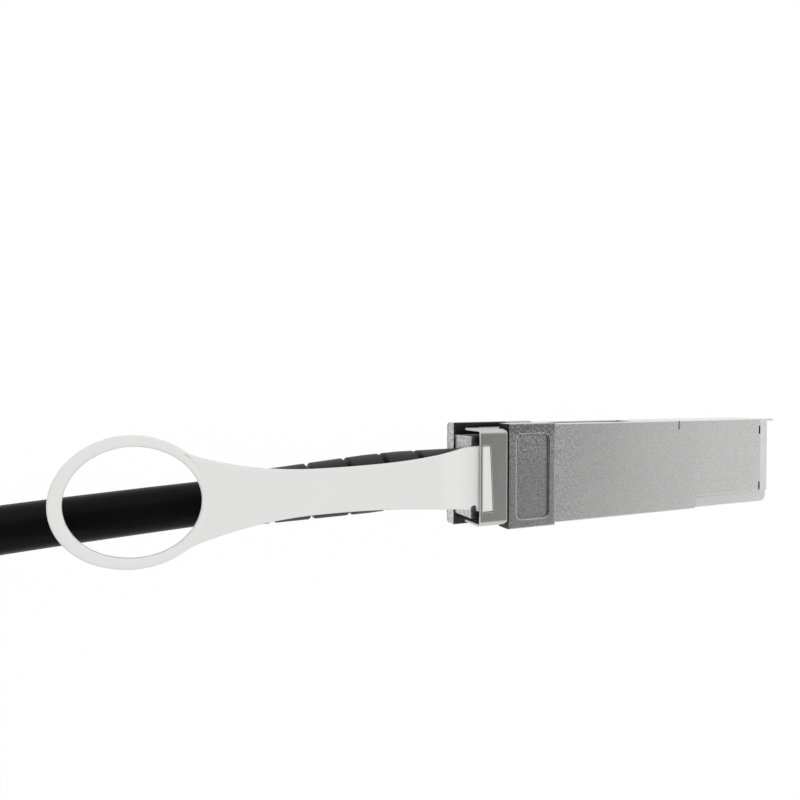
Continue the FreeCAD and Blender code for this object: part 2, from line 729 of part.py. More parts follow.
def edge_contacts(prefix):
    """Two rows of plated contacts, above and below the card's front edge."""
    body = new_body("edge_contacts", prefix, several=True)
    front = card_station(" - sizes.contact_setback")
    first = "-sizes.contact_pitch * (sizes.contact_count - 1) / 2"
    pad_outline = rectangle(front + " - sizes.contact_length", front,
                            first + " - sizes.contact_width / 2", first + " + sizes.contact_width / 2")
    upper = pad(body, "XY_Plane", CARD_TOP, CARD_TOP + " + sizes.contact_thick", [pad_outline])
    lower = pad(body, "XY_Plane", "sizes.card_low - sizes.contact_thick", "sizes.card_low", [pad_outline])
    repeat_sideways(body, [upper, lower], "sizes.contact_pitch", "sizes.contact_count")
    return add_node(body, "edge_contacts", prefix)


def repeat_sideways(body, features, pitch, count):
    """Linear pattern of features along +Y."""
    pattern = body.newObject("PartDesign::LinearPattern", "Pattern")
    pattern.Originals = features
    pattern.Direction = (next(f for f in body.Origin.OriginFeatures if f.Role == "Y_Axis"), [""])
    pattern.setExpression("Length", "%s * (%s - 1)" % (pitch, count))
    pattern.setExpression("Occurrences", count)
    body.Tip = pattern
    doc.recompute()
    return pattern


def card_chip(prefix):
    """Memory chip on the upper side of the card."""
    body = new_body("card_chip", prefix)
    half = "sizes.chip_size / 2"
    outline = rectangle("sizes.chip_place - " + half, "sizes.chip_place + " + half,
                        "sizes.chip_side - " + half, "sizes.chip_side + " + half)
    pad(body, "XY_Plane", CARD_TOP, CARD_TOP + " + sizes.chip_height", [outline])
    return add_node(body, "card_chip", prefix)


def coupling_capacitors(prefix):
    """Row of capacitors behind the contacts, on the upper side of the card."""
    body = new_body("coupling_capacitors", prefix, several=True)
    first = "-sizes.capacitor_pitch * (sizes.capacitor_count - 1) / 2"
    outline = rectangle("sizes.capacitor_place", "sizes.capacitor_place + sizes.capacitor_length",
                        first + " - sizes.capacitor_width / 2", first + " + sizes.capacitor_width / 2")
    one = pad(body, "XY_Plane", CARD_TOP, CARD_TOP + " + sizes.capacitor_width", [outline])
    repeat_sideways(body, [one], "sizes.capacitor_pitch", "sizes.capacitor_count")
    return add_node(body, "coupling_capacitors", prefix)


# ---------------------------------------------------------------- cable, inside and outside

def bent_path(points):
    """Straight runs joined by tangent arcs, each as large as its two runs allow. Returns wire and radii."""
    edges, radii = [], []
    start = points[0]
    for before, corner, after in zip(points, points[1:], points[2:]):
        back, ahead = before - corner, after - corner
        half_turn = (math.pi - back.getAngle(ahead)) / 2
        reach = 0.45 * min(back.Length, ahead.Length)
        radii.append(reach / math.tan(half_turn))
        inwards = (back.normalize() + ahead.normalize()).normalize()
        enter, leave = corner + back * reach, corner + ahead * reach
        bulge = radii[-1] / math.cos(half_turn) - radii[-1]
        edges.append(Part.LineSegment(start, enter).toShape())
        edges.append(Part.Arc(enter, corner + inwards * bulge, leave).toShape())
        start = leave
    edges.append(Part.LineSegment(start, points[-1]).toShape())
    return Part.Wire(edges), radii


def tube(points, radius, name=""):
    """Round solid along bent_path. Its volume is compared with section times length."""
    path, radii = bent_path(points)
    heading = points[1] - points[0]
    section = Part.Wire(Part.makeCircle(radius, points[0], heading))
    solid = path.makePipeShell([section], True, False)
    expected = math.pi * radius * radius * path.Length
    if abs(solid.Volume - expected) > 0.01 * expected:
        raise ValueError("the tube %s has volume %g, not %g" % (name, solid.Volume, expected))
    if name:
        print("%s: %.1f mm long, arc radii %s mm" % (name, path.Length, ", ".join("%.0f" % r for r in radii)))
    return solid


def add_tube(name, points, radius):
    feature = doc.addObject("Part::Feature", name)
    feature.Shape = tube(points, radius, name)
    return add_node(feature, name)


def plug_route():
    """The cable's own way out of a plug, in the plug's frame: level inside the boot, then bending aside."""
    axis = value("sizes.cable_axis")
    return [Vector(value("sizes.jacket_end"), 0, axis), Vector(-22.0, 0, axis), Vector(-38.0, -0.85, axis),
            Vector(-62.0, -2.25, axis - 0.2)]


def coil_levels():
    """Heights of the coil's two layers and its two radii, in the order low, high, inner, outer."""
    radius = value(CABLE_RADIUS)
    low = value("sizes.coil_lift") + radius
    middle = value("sizes.coil_radius")
    return low, low + 2 * radius, middle - radius, middle + radius


def near_route():
    """Near plug to the coil: the lead settles towards the surface and straightens along -X."""
    low, _, _, outer = coil_levels()
    end = Vector(value("sizes.coil_x + sizes.stub_length"), value("sizes.coil_y") + outer, low)
    return plug_route() + [Vector(-84.0, -3.85, 4.5), Vector(-97.0, -5.3, 4.25), end]


def far_route():
    """Far plug to the coil's upper layer, low under the pull ring and then rising beside the coil."""
    _, high, _, outer = coil_levels()
    shift = Vector(value("sizes.far_x"), value("sizes.far_y"), 0)
    end = Vector(value("sizes.coil_x + sizes.stub_length"), value("sizes.coil_y") - outer, high)
    inside = [point + shift for point in plug_route()]
    return inside + [Vector(-77.0, -95.0, 5.9), Vector(-88.5, -93.3, 8.9), Vector(-98.0, -91.9, 10.7), end]


def cable_coil():
    """Outer shape of three and a half turns, two beside each other in two layers, with both leads' ends."""
    low, high, _, outer = coil_levels()
    radius = value(CABLE_RADIUS)
    centre = Vector(value("sizes.coil_x"), value("sizes.coil_y"), 0)
    ring = bundle_ring(0.0, 2 * math.pi).translate(centre)
    stub = value("sizes.stub_length")
    arriving = Part.makeCylinder(radius, stub, centre + Vector(0, outer, low), AXIS_X)
    leaving = Part.makeCylinder(radius, stub, centre + Vector(0, -outer, high), AXIS_X)
    coil = doc.addObject("Part::Feature", "cable_coil")
    coil.Shape = ring.fuse([arriving, leaving]).removeSplitter().Solids[0]
    return add_node(coil, "cable_coil")


def bundle_ring(grow, angle, start=0.0):
    """Sector of the coil's rounded square bundle about the Z axis, its section grown outwards by grow."""
    c, d, a, b = coil_levels()
    radius = value(CABLE_RADIUS) + grow
    s = radius * math.sqrt(0.5)
    corners = [(a, c - radius, b, c - radius), (b + s, c - s), (b + radius, c, b + radius, d), (b + s, d + s),
               (b, d + radius, a, d + radius), (a - s, d + s), (a - radius, d, a - radius, c), (a - s, c - s)]
    edges = []
    for k in range(0, 8, 2):
        x1, z1, x2, z2 = corners[k]
        middle = corners[k + 1]
        after = corners[(k + 2) % 8]
        edges.append(Part.LineSegment(Vector(x1, 0, z1), Vector(x2, 0, z2)).toShape())
        edges.append(Part.Arc(Vector(x2, 0, z2), Vector(middle[0], 0, middle[1]),
                              Vector(after[0], 0, after[1])).toShape())
    face = Part.Face(Part.Wire(edges))
    solid = face.revolve(Vector(0, 0, 0), AXIS_Z, math.degrees(angle))
    solid.rotate(Vector(0, 0, 0), AXIS_Z, math.degrees(start))
    return solid


def coil_tie():
    """Strap round the bundle on the side away from the plugs: it lies between the coil and the surface."""
    angle = value("sizes.tie_width") / value("sizes.coil_radius")
    start = math.pi - angle / 2
    strap = bundle_ring(value("sizes.coil_lift"), angle, start).cut(bundle_ring(0.0, angle, start))
    tie = doc.addObject("Part::Feature", "coil_tie")
    tie.Shape = strap.translate(Vector(value("sizes.coil_x"), value("sizes.coil_y"), 0))
    return add_node(tie, "coil_tie")


def cable_shield(prefix):
    """Braided bundle from the end of the jacket to where the pairs fan out."""
    body = new_body("cable_shield", prefix)
    circle = ("0", "sizes.cable_axis", "sizes.shield_diameter / 2")
    pad(body, "YZ_Plane", "sizes.jacket_end", "sizes.shield_end", circles=[circle])
    return add_node(body, "cable_shield", prefix)


def crimp_ring(prefix):
    """Ring pressed on the braid, which joins it to the housing."""
    body = new_body("crimp_ring", prefix)
    axis = ("0", "sizes.cable_axis")
    bounds = ("sizes.crimp_start", "sizes.crimp_start + sizes.crimp_length")
    pad(body, "YZ_Plane", *bounds, circles=[axis + ("sizes.shield_diameter / 2 + sizes.crimp_wall",),
                                            axis + ("sizes.shield_diameter / 2",)])
    return add_node(body, "crimp_ring", prefix)


def pair_routes():
    """Way of each conductor pair from the bundle to its landing on the card, upper side then lower."""
    axis, radius = value("sizes.cable_axis"), value("sizes.pair_radius")
    start, end = value("sizes.shield_end"), value("sizes.pair_end")
    straight, landing = value("sizes.pair_straight"), value("sizes.pair_landing")
    count = int(value("sizes.pairs_per_side"))
    levels = [(value("sizes.bundle_rise"), value(CARD_TOP) + radius),
              (-value("sizes.bundle_rise"), value("sizes.card_low") - radius)]
    for rise, card_level in levels:
        for k in range(count):
            place = k - (count - 1) / 2
            tight, wide = place * value("sizes.bundle_pitch"), place * value("sizes.pair_pitch")
            yield [Vector(start, tight, axis + rise), Vector(start + straight, tight, axis + rise),
                   Vector(landing, wide, card_level), Vector(end, wide, card_level)]


def twinax_pairs(prefix):
    """Conductor pairs that fan out of the shield on to both sides of the card."""
    pairs = doc.addObject("Part::Feature", prefix + "twinax_pairs")
    radius = value("sizes.pair_radius")
    pairs.Shape = Part.makeCompound([tube(route, radius) for route in pair_routes()])
    return add_node(pairs, "twinax_pairs", prefix)


def inner_mould(prefix):
    """Moulding that holds the pairs where they land, round the card's rear end."""
    start, length = value("sizes.mould_start"), value("sizes.mould_length")
    width, low, high = value("sizes.mould_width"), value("sizes.mould_low"), value("sizes.mould_high")
    block = Part.makeBox(length, width, high - low, Vector(start, -width / 2, low))
    card_low, thick = value("sizes.card_low"), value("sizes.card_thick")
    rear = value("sizes.card_rear")
    card = Part.makeBox(length, width, thick, Vector(rear, -width / 2, card_low))
    pairs = [tube(route, value("sizes.pair_radius")) for route in pair_routes()]
    mould = doc.addObject("Part::Feature", prefix + "inner_mould")
    mould.Shape = block.cut([card] + pairs)
    return add_node(mould, "inner_mould", prefix)


# ---------------------------------------------------------------- strain relief

def boot_radius_at(x):
    """Outer radius of the strain relief, level at first and then tapering to its end."""
    start, end = value("sizes.boot_taper_start"), boot_end()
    share = min(max((start - x) / (start - end), 0.0), 1.0)
    return value(BOOT_RADIUS) - share * value("sizes.boot_wall - sizes.boot_end_wall")


def boot_end():
    return value("sizes.groove_first - sizes.groove_count * sizes.groove_pitch")


def turned(profile):
    """Solid of revolution about the X axis from (x, radius) points."""
    low, high = profile[0][0], profile[-1][0]
    outline = [Vector(low, 0, 0)] + [Vector(x, r, 0) for x, r in profile]
    outline += [Vector(high, 0, 0), Vector(low, 0, 0)]
    return Part.Face(Part.makePolygon(outline)).revolve(Vector(0, 0, 0), AXIS_X, 360)


def set_on_route(solid, station):
    """Moves a solid drawn about the X axis so that its place at station follows the cable's way out."""
    route = plug_route()
    for start, end in zip(route, route[1:]):
        if start.x >= station >= end.x:
            share = (station - start.x) / (end.x - start.x)
            place = start + (end - start) * share
            turn = FreeCAD.Rotation(Vector(-1, 0, 0), end - start)
            return solid.transformed(FreeCAD.Placement(place, turn, Vector(0, 0, 0)).toMatrix())
    raise ValueError("no place on the route at %g" % station)


def strain_relief(prefix):
    """Ribbed boot moulded on the cable, with a flanged neck caught between the housing halves."""
    half = value("sizes.groove_half")
    first, pitch = value("sizes.groove_first"), value("sizes.groove_pitch")
    shoulder = value(TOE_END + " - sizes.boot_gap")
    neck, flange = value(NECK_RADIUS), value(FLANGE_RADIUS)
    flange_start = value("sizes.flange_start")
    flange_end = flange_start + value("sizes.flange_length")
    big, core = value(BOOT_RADIUS), value(CABLE_RADIUS + " + sizes.core_wall")
    root = core - value("sizes.rib_sink")
    axis = Vector(0, 0, value("sizes.cable_axis"))
    front = turned([(first, root), (first + half, big), (shoulder, big), (shoulder, neck),
                    (flange_start, neck), (flange_start, flange), (flange_end, flange)]).translate(axis)
    core_route = cut_route(plug_route(), boot_end())
    core_route[0] = Vector(shoulder - half, 0, axis.z)
    pieces = [tube(core_route, core)]
    for k in range(int(value("sizes.groove_count"))):
        start = first - k * pitch
        end, middle = start - pitch, start - pitch / 2
        rib = turned([(end - middle, root), (end + half - middle, boot_radius_at(end)),
                      (start - half - middle, boot_radius_at(start)), (start - middle, root)])
        pieces.append(set_on_route(rib, middle))
    shape = front.fuse(pieces)
    shape = shape.cut([tube(plug_route(), value(CABLE_RADIUS)), shield_room(), tab_room()])
    boot = doc.addObject("Part::Feature", prefix + "strain_relief")
    boot.Shape = shape.removeSplitter().Solids[0]
    return add_node(boot, "strain_relief", prefix)


def cut_route(route, station):
    """The route as far as a station along X."""
    kept = [point for point in route if point.x > station]
    before, after = kept[-1], route[len(kept)]
    share = (station - before.x) / (after.x - before.x)
    return kept + [before + (after - before) * share]


def shield_room():
    """Space that the braided bundle takes through the boot's neck."""
    start = value("sizes.jacket_end")
    return Part.makeCylinder(value("sizes.shield_diameter") / 2, value("sizes.shield_end") - start,
                             Vector(start, 0, value("sizes.cable_axis")), AXIS_X)


def tab_room():
    """Flat and slope on top of the boot, which leave the pull tab's ramp its travel."""
    flat, end = value("sizes.boot_flat"), value("sizes.ramp_front - sizes.latch_travel - sizes.travel_room")
    side, top = value(BOOT_RADIUS), value(TAB_UNDERSIDE)
    slope_end = end - value("sizes.boot_flat_run")
    outline = [(0.0, flat), (end, flat), (slope_end, top), (0.0, top), (0.0, flat)]
    face = Part.Face(Part.makePolygon([Vector(x, -side, z) for x, z in outline]))
    return face.extrude(Vector(0, 2 * side, 0))


# ---------------------------------------------------------------- the whole

def build_plug(prefix):
    housing_base(prefix)
    housing_cover(prefix)
    cover_screws(prefix)
    latch_bracket(prefix)
    pull_tab(prefix)
    latch_spring(prefix, "latch_spring_right", 1)
    latch_spring(prefix, "latch_spring_left", -1)
    paddle_card(prefix)
    edge_contacts(prefix)
    card_chip(prefix)
    coupling_capacitors(prefix)
    cable_shield(prefix)
    crimp_ring(prefix)
    twinax_pairs(prefix)
    inner_mould(prefix)
    strain_relief(prefix)


def check_and_write():
    """Stops on any failed object or bad shape, then writes one STEP file for each node."""
    doc.recompute()
    failed = [o.Name for o in doc.Objects if "Invalid" in o.State or "Error" in o.State]
    bad = [n.Label for n in nodes if n.Shape.isNull() or not n.Shape.isValid() or not n.Shape.Solids]
    if failed or bad:
        raise RuntimeError("failed objects %s, bad shapes %s" % (failed, bad))
    os.makedirs("parts", exist_ok=True)
    for node in nodes:
        node.Shape.exportStep("parts/%s.step" % node.Label)
    print("wrote %d nodes" % len(nodes))


for plug in PLUGS:
    build_plug(plug)
cable_radius = value(CABLE_RADIUS)
add_tube("cable_lead", near_route(), cable_radius)
cable_coil()
add_tube("far_cable_lead", far_route(), cable_radius)
coil_tie()
check_and_write()
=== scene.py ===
import json
import math

import bmesh
import bpy
import numpy as np
from mathutils import Matrix, Vector


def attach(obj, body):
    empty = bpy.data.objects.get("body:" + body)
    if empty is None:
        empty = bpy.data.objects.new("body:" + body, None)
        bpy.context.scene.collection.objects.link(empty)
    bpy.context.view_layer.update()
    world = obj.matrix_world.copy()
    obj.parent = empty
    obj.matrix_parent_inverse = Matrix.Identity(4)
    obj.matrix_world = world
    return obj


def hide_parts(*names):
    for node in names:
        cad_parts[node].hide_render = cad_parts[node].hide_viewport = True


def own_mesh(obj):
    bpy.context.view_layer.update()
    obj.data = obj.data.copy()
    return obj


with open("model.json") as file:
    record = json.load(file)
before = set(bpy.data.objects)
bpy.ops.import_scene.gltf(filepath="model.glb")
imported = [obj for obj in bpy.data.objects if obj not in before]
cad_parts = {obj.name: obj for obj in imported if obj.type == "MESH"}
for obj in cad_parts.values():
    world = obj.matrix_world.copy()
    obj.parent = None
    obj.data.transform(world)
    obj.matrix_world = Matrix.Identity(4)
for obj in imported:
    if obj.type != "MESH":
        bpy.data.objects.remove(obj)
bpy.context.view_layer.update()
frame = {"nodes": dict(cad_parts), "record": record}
nodes = frame["nodes"]
mm = 0.001
plugs = {"": (0.0, 0.0), "far_": (0.003, -0.093)}   # name prefix of a plug, and how far it is moved in x and y
latchBody = {"": "latch", "far_": "far_latch"}
print("frame loaded:", len(nodes), "nodes")


# ---- camera -------------------------------------------------------------

view = {
    "place": (-0.06661, 0.01546, 0.10399),
    "look": (0.3969, -0.0164, -0.9177),
    "up": (0.0046, 0.99986, -0.0159),
    "lens": 28.0,
    "sensor": 36.0,
}


def makeCamera():
    data = bpy.data.cameras.new("camera")
    data.lens, data.sensor_width = view["lens"], view["sensor"]
    data.clip_start, data.clip_end = 0.005, 20.0
    camera = bpy.data.objects.new("camera", data)
    back = -Vector(view["look"]).normalized()
    right = Vector(view["up"]).cross(back).normalized()
    turned = Matrix((right, back.cross(right), back)).transposed()
    camera.matrix_world = Matrix.Translation(view["place"]) @ turned.to_4x4()
    bpy.context.scene.collection.objects.link(camera)
    bpy.context.scene.camera = camera


makeCamera()
bpy.context.scene.view_settings.view_transform = "Standard"
print("camera placed")


# ---- shader arithmetic --------------------------------------------------

# A socket of a material that takes part in Python arithmetic: each operation adds its Math node.
class Signal:
    def __init__(self, look, socket):
        self.look, self.socket = look, socket

    def apply(self, operation, *values):
        return self.look.node("Math", {"operation": operation}, dict(enumerate(values)))

    def __add__(self, other):
        return self.apply("ADD", self, other)

    def __sub__(self, other):
        return self.apply("SUBTRACT", self, other)

    def __rsub__(self, other):
        return self.apply("SUBTRACT", other, self)

    def __mul__(self, other):
        return self.apply("MULTIPLY", self, other)

    __radd__, __rmul__ = __add__, __mul__

    def clip(self):
        return self.apply("MINIMUM", self.apply("MAXIMUM", self, 0.0), 1.0)

    def between(self, low, high):   # 0 at low and 1 at high, level outside
        return ((self - low) * (1.0 / (high - low))).clip()


# One material and its nodes. The main shader is the Principled BSDF.
class Look:
    def __init__(self, name, owner=None, shader="Principled BSDF", **constants):
        self.material = owner or bpy.data.materials.new(name)
        self.material.use_nodes = True
        self.tree = self.material.node_tree
        self.shader = self.tree.nodes[shader]
        self.place = None
        for key, value in constants.items():
            self.shader.inputs[key.replace("_", " ")].default_value = value

    def node(self, kind, settings=None, values=None, out=0):
        made = self.tree.nodes.new("ShaderNode" + kind)
        for key, value in (settings or {}).items():
            if key == "stops":
                while len(made.color_ramp.elements) < len(value):
                    made.color_ramp.elements.new(0.5)
                for stop, (position, colour) in zip(made.color_ramp.elements, value):
                    stop.position, stop.color = position, colour
            else:
                setattr(made, key, value)
        for key, value in (values or {}).items():
            self.feed(made.inputs[key], value)
        return Signal(self, made.outputs[out])

    def feed(self, socket, value):
        if isinstance(value, Signal):
            self.tree.links.new(value.socket, socket)
        elif isinstance(value, (tuple, list)) and socket.type == "RGBA" and len(value) == 3:
            socket.default_value = (*value, 1.0)
        else:
            socket.default_value = value

    def set(self, name, value):
        self.feed(self.shader.inputs[name], value)

    def coordinates(self):
        if self.place is None:
            self.place = self.node("TexCoord", out="Object")
        return self.place

    def axes(self):
        split = self.node("SeparateXYZ", values={0: self.coordinates()})
        return [Signal(self, split.socket.node.outputs[k]) for k in range(3)]

    def noise(self, scale, detail=3.0, rough=0.5, stretch=None):
        where = self.coordinates()
        if stretch:
            where = self.node("VectorMath", {"operation": "MULTIPLY"}, {0: where, 1: stretch})
        return self.node("TexNoise", values={"Vector": where, "Scale": scale, "Detail": detail, "Roughness": rough})

    def mix(self, share, first, second):
        return self.node("Mix", {"data_type": "RGBA"}, {0: share, 6: first, 7: second}, out=2)

    def roundedNormal(self, radius):
        return self.node("Bevel", {"samples": 6}, {"Radius": radius})

    def edges(self, radius):   # 1 on sharp edges: where the rounded normal leaves the face's own
        rounded = self.roundedNormal(radius)
        own = self.node("NewGeometry", out="Normal")
        return (1.0 - self.node("VectorMath", {"operation": "DOT_PRODUCT"}, {0: rounded, 1: own}, out="Value")).clip()

    def openness(self, reach):   # 0 in a deep corner and 1 on an open face, looking as far as reach
        return self.node("AmbientOcclusion", {"samples": 8}, {"Distance": reach}, out="AO")

    def facing(self):   # the three parts of the face's own direction
        split = self.node("SeparateXYZ", values={0: self.node("NewGeometry", out="Normal")})
        return [Signal(self, split.socket.node.outputs[k]) for k in range(3)]

    def bump(self, height, strength, distance, normal=None):
        values = {"Height": height, "Strength": strength, "Distance": distance}
        if normal is not None:
            values["Normal"] = normal
        return self.node("Bump", values=values)


def grey(level):
    return (level, level, level)


def scaled(colour, factor):
    return tuple(min(c * factor, 1.0) for c in colour)


# ---- materials ----------------------------------------------------------

# Heights and places are in metres in the plug's own axes, and each pair is where a fade starts and ends.
# The edge colour and its gain are a painted highlight. The near-black colour, the factor for the block's top and the
# rear and block darkening ranges are painted shade. The shelf and steep ranges also carry painted light.
cast = {
    "dark": (0.360, 0.360, 0.362), "light": (0.900, 0.898, 0.892), "edge": (0.96, 0.96, 0.95),
    "corner": (0.020, 0.020, 0.020), "grain": 2900.0, "pits": 5600.0, "bevel": 0.00030, "edgeHighlightGain": 3.0,
    "steep": (0.6, 0.95), "level": (0.6, 0.9), "topShade": 0.66, "blockTop": (0.0095, 0.0096),
    "blockRear": (-0.0050, -0.0049), "blockWear": (0.001, 0.0085), "blockShade": (0.0068, 0.0086),
    "bodyWear": (0.005, 0.014), "rearShade": (-0.008, 0.006), "shelfFront": (0.0415, 0.0420),
    "shelfTop": (0.0087, 0.0088), "slabTop": (0.0027, 0.0028), "ledgeSide": (0.0080, 0.0082),
    "ledgeFront": (-0.0008, -0.0004), "wallRear": (-0.0053, -0.0051), "reach": 0.0025, "open": (0.15, 0.75),
}


# Zinc casting. Grain is strong on the block's far half and the tail and fades along the body. Tone is the share of
# the light colour: a base, with painted light that makes the sides and the shelf paler, painted shade that darkens
# the rear faces (more towards +y) and the block towards its +y side, a random cloud, and the grain. The block's top
# is a darker copy, which is painted shade, and sharp edges are paler, a painted highlight. The tail's floor, the
# ledge and the gap beside and behind the block, and every deep corner, are painted shade, mixed towards near black.
def castingLook():
    look = Look("casting", Metallic=1.0, Roughness=0.42)
    grain, pits = look.noise(cast["grain"], 4.0, 0.65), look.noise(cast["pits"], 3.0, 0.6)
    cloud = look.noise(70.0, 2.0)
    farX, farY = plugs["far_"]
    x, y, z = look.axes()
    farPlug = look.node("Math", {"operation": "LESS_THAN"}, {0: y, 1: farY / 2})
    x, y = x - farX * farPlug, y - farY * farPlug
    toFront, toSide, toTop = look.facing()
    side = look.node("Math", {"operation": "ABSOLUTE"}, {0: toSide}).between(*cast["steep"])
    rear = (toFront * -1.0).between(*cast["steep"])
    block = z.between(*cast["blockTop"])
    tail = 1.0 - x.between(*cast["blockRear"])
    shelf = x.between(*cast["shelfFront"]) * (1.0 - z.between(*cast["shelfTop"]))
    bodyWorn = 0.55 * tail + (1.0 - tail) * (0.30 - 0.30 * x.between(*cast["bodyWear"]))
    worn = block * (0.30 + 0.95 * y.between(*cast["blockWear"])) + (1.0 - block) * bodyWorn
    # Painted light: side faces +0.35 and the shelf +0.12. Painted shade: rear faces darker towards +y, and the block
    # darker towards its +y side.
    tone = (0.50 + 0.35 * side - 0.26 * rear * y.between(*cast["rearShade"]) + 0.12 * shelf + 0.12 * (cloud - 0.5)
            - 0.55 * block * y.between(*cast["blockShade"]) + (0.9 + 4.6 * worn) * (grain - 0.5)
            + (0.5 + 2.4 * worn) * (pits - 0.5)).clip()
    plain = look.mix(tone, cast["dark"], cast["light"])
    # Painted shade: the block's top faces take a darker copy of the colours.
    topShade = look.mix(tone, scaled(cast["dark"], cast["topShade"]), scaled(cast["light"], cast["topShade"]))
    colour = look.mix(block * (1.0 - side), plain, topShade)
    # Painted highlight: sharp edges, found by the rounded normal, are mixed towards a near-white colour.
    colour = look.mix((look.edges(cast["bevel"]) * cast["edgeHighlightGain"]).clip(), colour, cast["edge"])
    # Painted shade: the tail's floor, the ledge beside the block, the wall behind it and deep corners found by
    # ambient occlusion are mixed towards near black.
    ledge = y.between(*cast["ledgeSide"]) * (1.0 - x.between(*cast["ledgeFront"]))
    floor = (tail + ledge).clip() * toTop.between(*cast["level"]) * (1.0 - z.between(*cast["slabTop"]))
    wall = rear * x.between(*cast["wallRear"])
    corners = 1.0 - look.openness(cast["reach"]).between(*cast["open"])
    look.set("Base Color", look.mix((floor * 0.88 + wall * 0.9 + corners).clip(), colour, cast["corner"]))
    look.set("Roughness", (0.36 + 0.22 * (pits - 0.4) + 0.10 * worn).clip())
    height = grain * 0.6 + pits * 0.4
    look.set("Normal", look.bump(height, 0.12 + 0.50 * worn, 0.00005, look.roundedNormal(cast["bevel"])))
    return look.material


# The edge colour and its gain are a painted highlight on sharp edges. The near-black colour, reach and open range
# paint shade into gaps and corners.
sheetSteel = {
    "colour": (0.570, 0.568, 0.562), "edge": (0.96, 0.96, 0.95), "corner": (0.020, 0.020, 0.020), "spread": 0.14,
    "bevel": 0.00020, "edgeHighlightGain": 6.0, "reach": 0.0015, "open": (0.10, 0.60),
}


# Rolled steel sheet with random tone. Its sharp edges get a painted highlight, and it gets painted shade, mixed
# towards near black, where ambient occlusion finds it closed in.
def bracketLook():
    look = Look("bracketSteel", Metallic=1.0, Roughness=0.34)
    rolled = look.noise(900.0, 5.0, 0.7, (1.0, 14.0, 1.0))
    cloud = look.noise(160.0, 2.0)
    tone = look.mix((0.5 * rolled + 0.5 * cloud).clip(), scaled(sheetSteel["colour"], 1.0 - sheetSteel["spread"]),
                    scaled(sheetSteel["colour"], 1.0 + sheetSteel["spread"]))
    colour = look.mix((look.edges(sheetSteel["bevel"]) * sheetSteel["edgeHighlightGain"]).clip(), tone, sheetSteel["edge"])
    clear = look.openness(sheetSteel["reach"]).between(*sheetSteel["open"])
    look.set("Base Color", look.mix(clear, sheetSteel["corner"], colour))
    look.set("Roughness", (0.28 + 0.12 * rolled).clip())
    look.set("Normal", look.bump(rolled, 0.15, 0.00002, look.roundedNormal(sheetSteel["bevel"])))
    return look.material


def plasticLook(name, colour, roughness, grain=2600.0, depth=0.00002, spread=0.06, strength=0.25, **constants):
    look = Look(name, Roughness=roughness, **constants)
    fine, cloud = look.noise(grain, 3.0, 0.6), look.noise(140.0, 2.0)
    share = (0.5 * fine + 0.5 * cloud).clip()
    look.set("Base Color", look.mix(share, scaled(colour, 1.0 - spread), scaled(colour, 1.0 + spread)))
    look.set("Roughness", (roughness + 0.12 * (cloud - 0.5) + 0.08 * (fine - 0.5)).clip())
    look.set("Normal", look.bump(fine, strength, depth))
    return look.material


def metalLook(name, colour, roughness, grain=2400.0):
    look = Look(name, Metallic=1.0, Roughness=roughness)
    fine, cloud = look.noise(grain, 3.0, 0.6), look.noise(220.0, 2.0)
    look.set("Base Color", look.mix(cloud, scaled(colour, 0.85), scaled(colour, 1.1)))
    look.set("Roughness", (roughness + 0.15 * (fine - 0.5)).clip())
    look.set("Normal", look.bump(fine, 0.2, 0.00002))
    return look.material


# Laminate with traces: a sine of y is cut off to stripes, which end before the capacitors.
def cardLook():
    pitch, tracesEnd = 0.0016, (0.0520, 0.0524)
    look = Look("cardLaminate", Roughness=0.35)
    x, y, z = look.axes()
    lane = look.node("Math", {"operation": "SINE"}, {0: y * (2.0 * math.pi / pitch)})
    trace = lane.between(0.55, 0.75) * (1.0 - x.between(*tracesEnd))
    look.set("Base Color", look.mix(trace, (0.006, 0.065, 0.028), (0.014, 0.115, 0.050)))
    weave = look.noise(1800.0, 2.0)
    look.set("Roughness", (0.30 + 0.15 * weave).clip())
    look.set("Normal", look.bump(trace * 0.8 + weave * 0.2, 0.3, 0.00003))
    return look.material


# Braid: the product of two sines that wind round the cable's axis in opposite ways.
def braidLook():
    axisHeight, strands, advance = 0.005, 16.0, 6500.0
    look = Look("braid", Metallic=1.0, Roughness=0.35)
    x, y, z = look.axes()
    around = look.node("Math", {"operation": "ARCTAN2"}, {0: z - axisHeight, 1: y})
    one = look.node("Math", {"operation": "SINE"}, {0: around * strands + x * advance})
    two = look.node("Math", {"operation": "SINE"}, {0: around * strands - x * advance})
    weave = one * two
    look.set("Base Color", look.mix(weave.between(-0.6, 0.6), grey(0.18), grey(0.55)))
    look.set("Roughness", (0.45 - 0.15 * weave).clip())
    look.set("Normal", look.bump(weave, 0.6, 0.0001))
    return look.material


def fabricLook():
    look = Look("tieFabric", Roughness=0.85, Sheen_Weight=0.4)
    fuzz = look.noise(2600.0, 4.0, 0.75)
    loops = look.node("TexVoronoi", values={"Vector": look.coordinates(), "Scale": 1900.0})
    share = (0.6 * fuzz + 0.4 * loops).clip()
    look.set("Base Color", look.mix(share, grey(0.006), grey(0.035)))
    look.set("Roughness", (0.75 + 0.2 * fuzz).clip())
    look.set("Normal", look.bump(share, 0.8, 0.0002))
    return look.material


def jacketLook():
    look = Look("cableJacket", Roughness=0.34, Specular_IOR_Level=0.08)
    fine, cloud = look.noise(1500.0, 4.0, 0.6), look.noise(90.0, 2.0)
    look.set("Base Color", look.mix(cloud, grey(0.0020), grey(0.0045)))
    look.set("Roughness", (0.30 + 0.14 * (cloud - 0.5) + 0.10 * fine).clip())
    look.set("Normal", look.bump(fine * 0.6 + cloud * 0.4, 0.22, 0.00006))
    return look.material


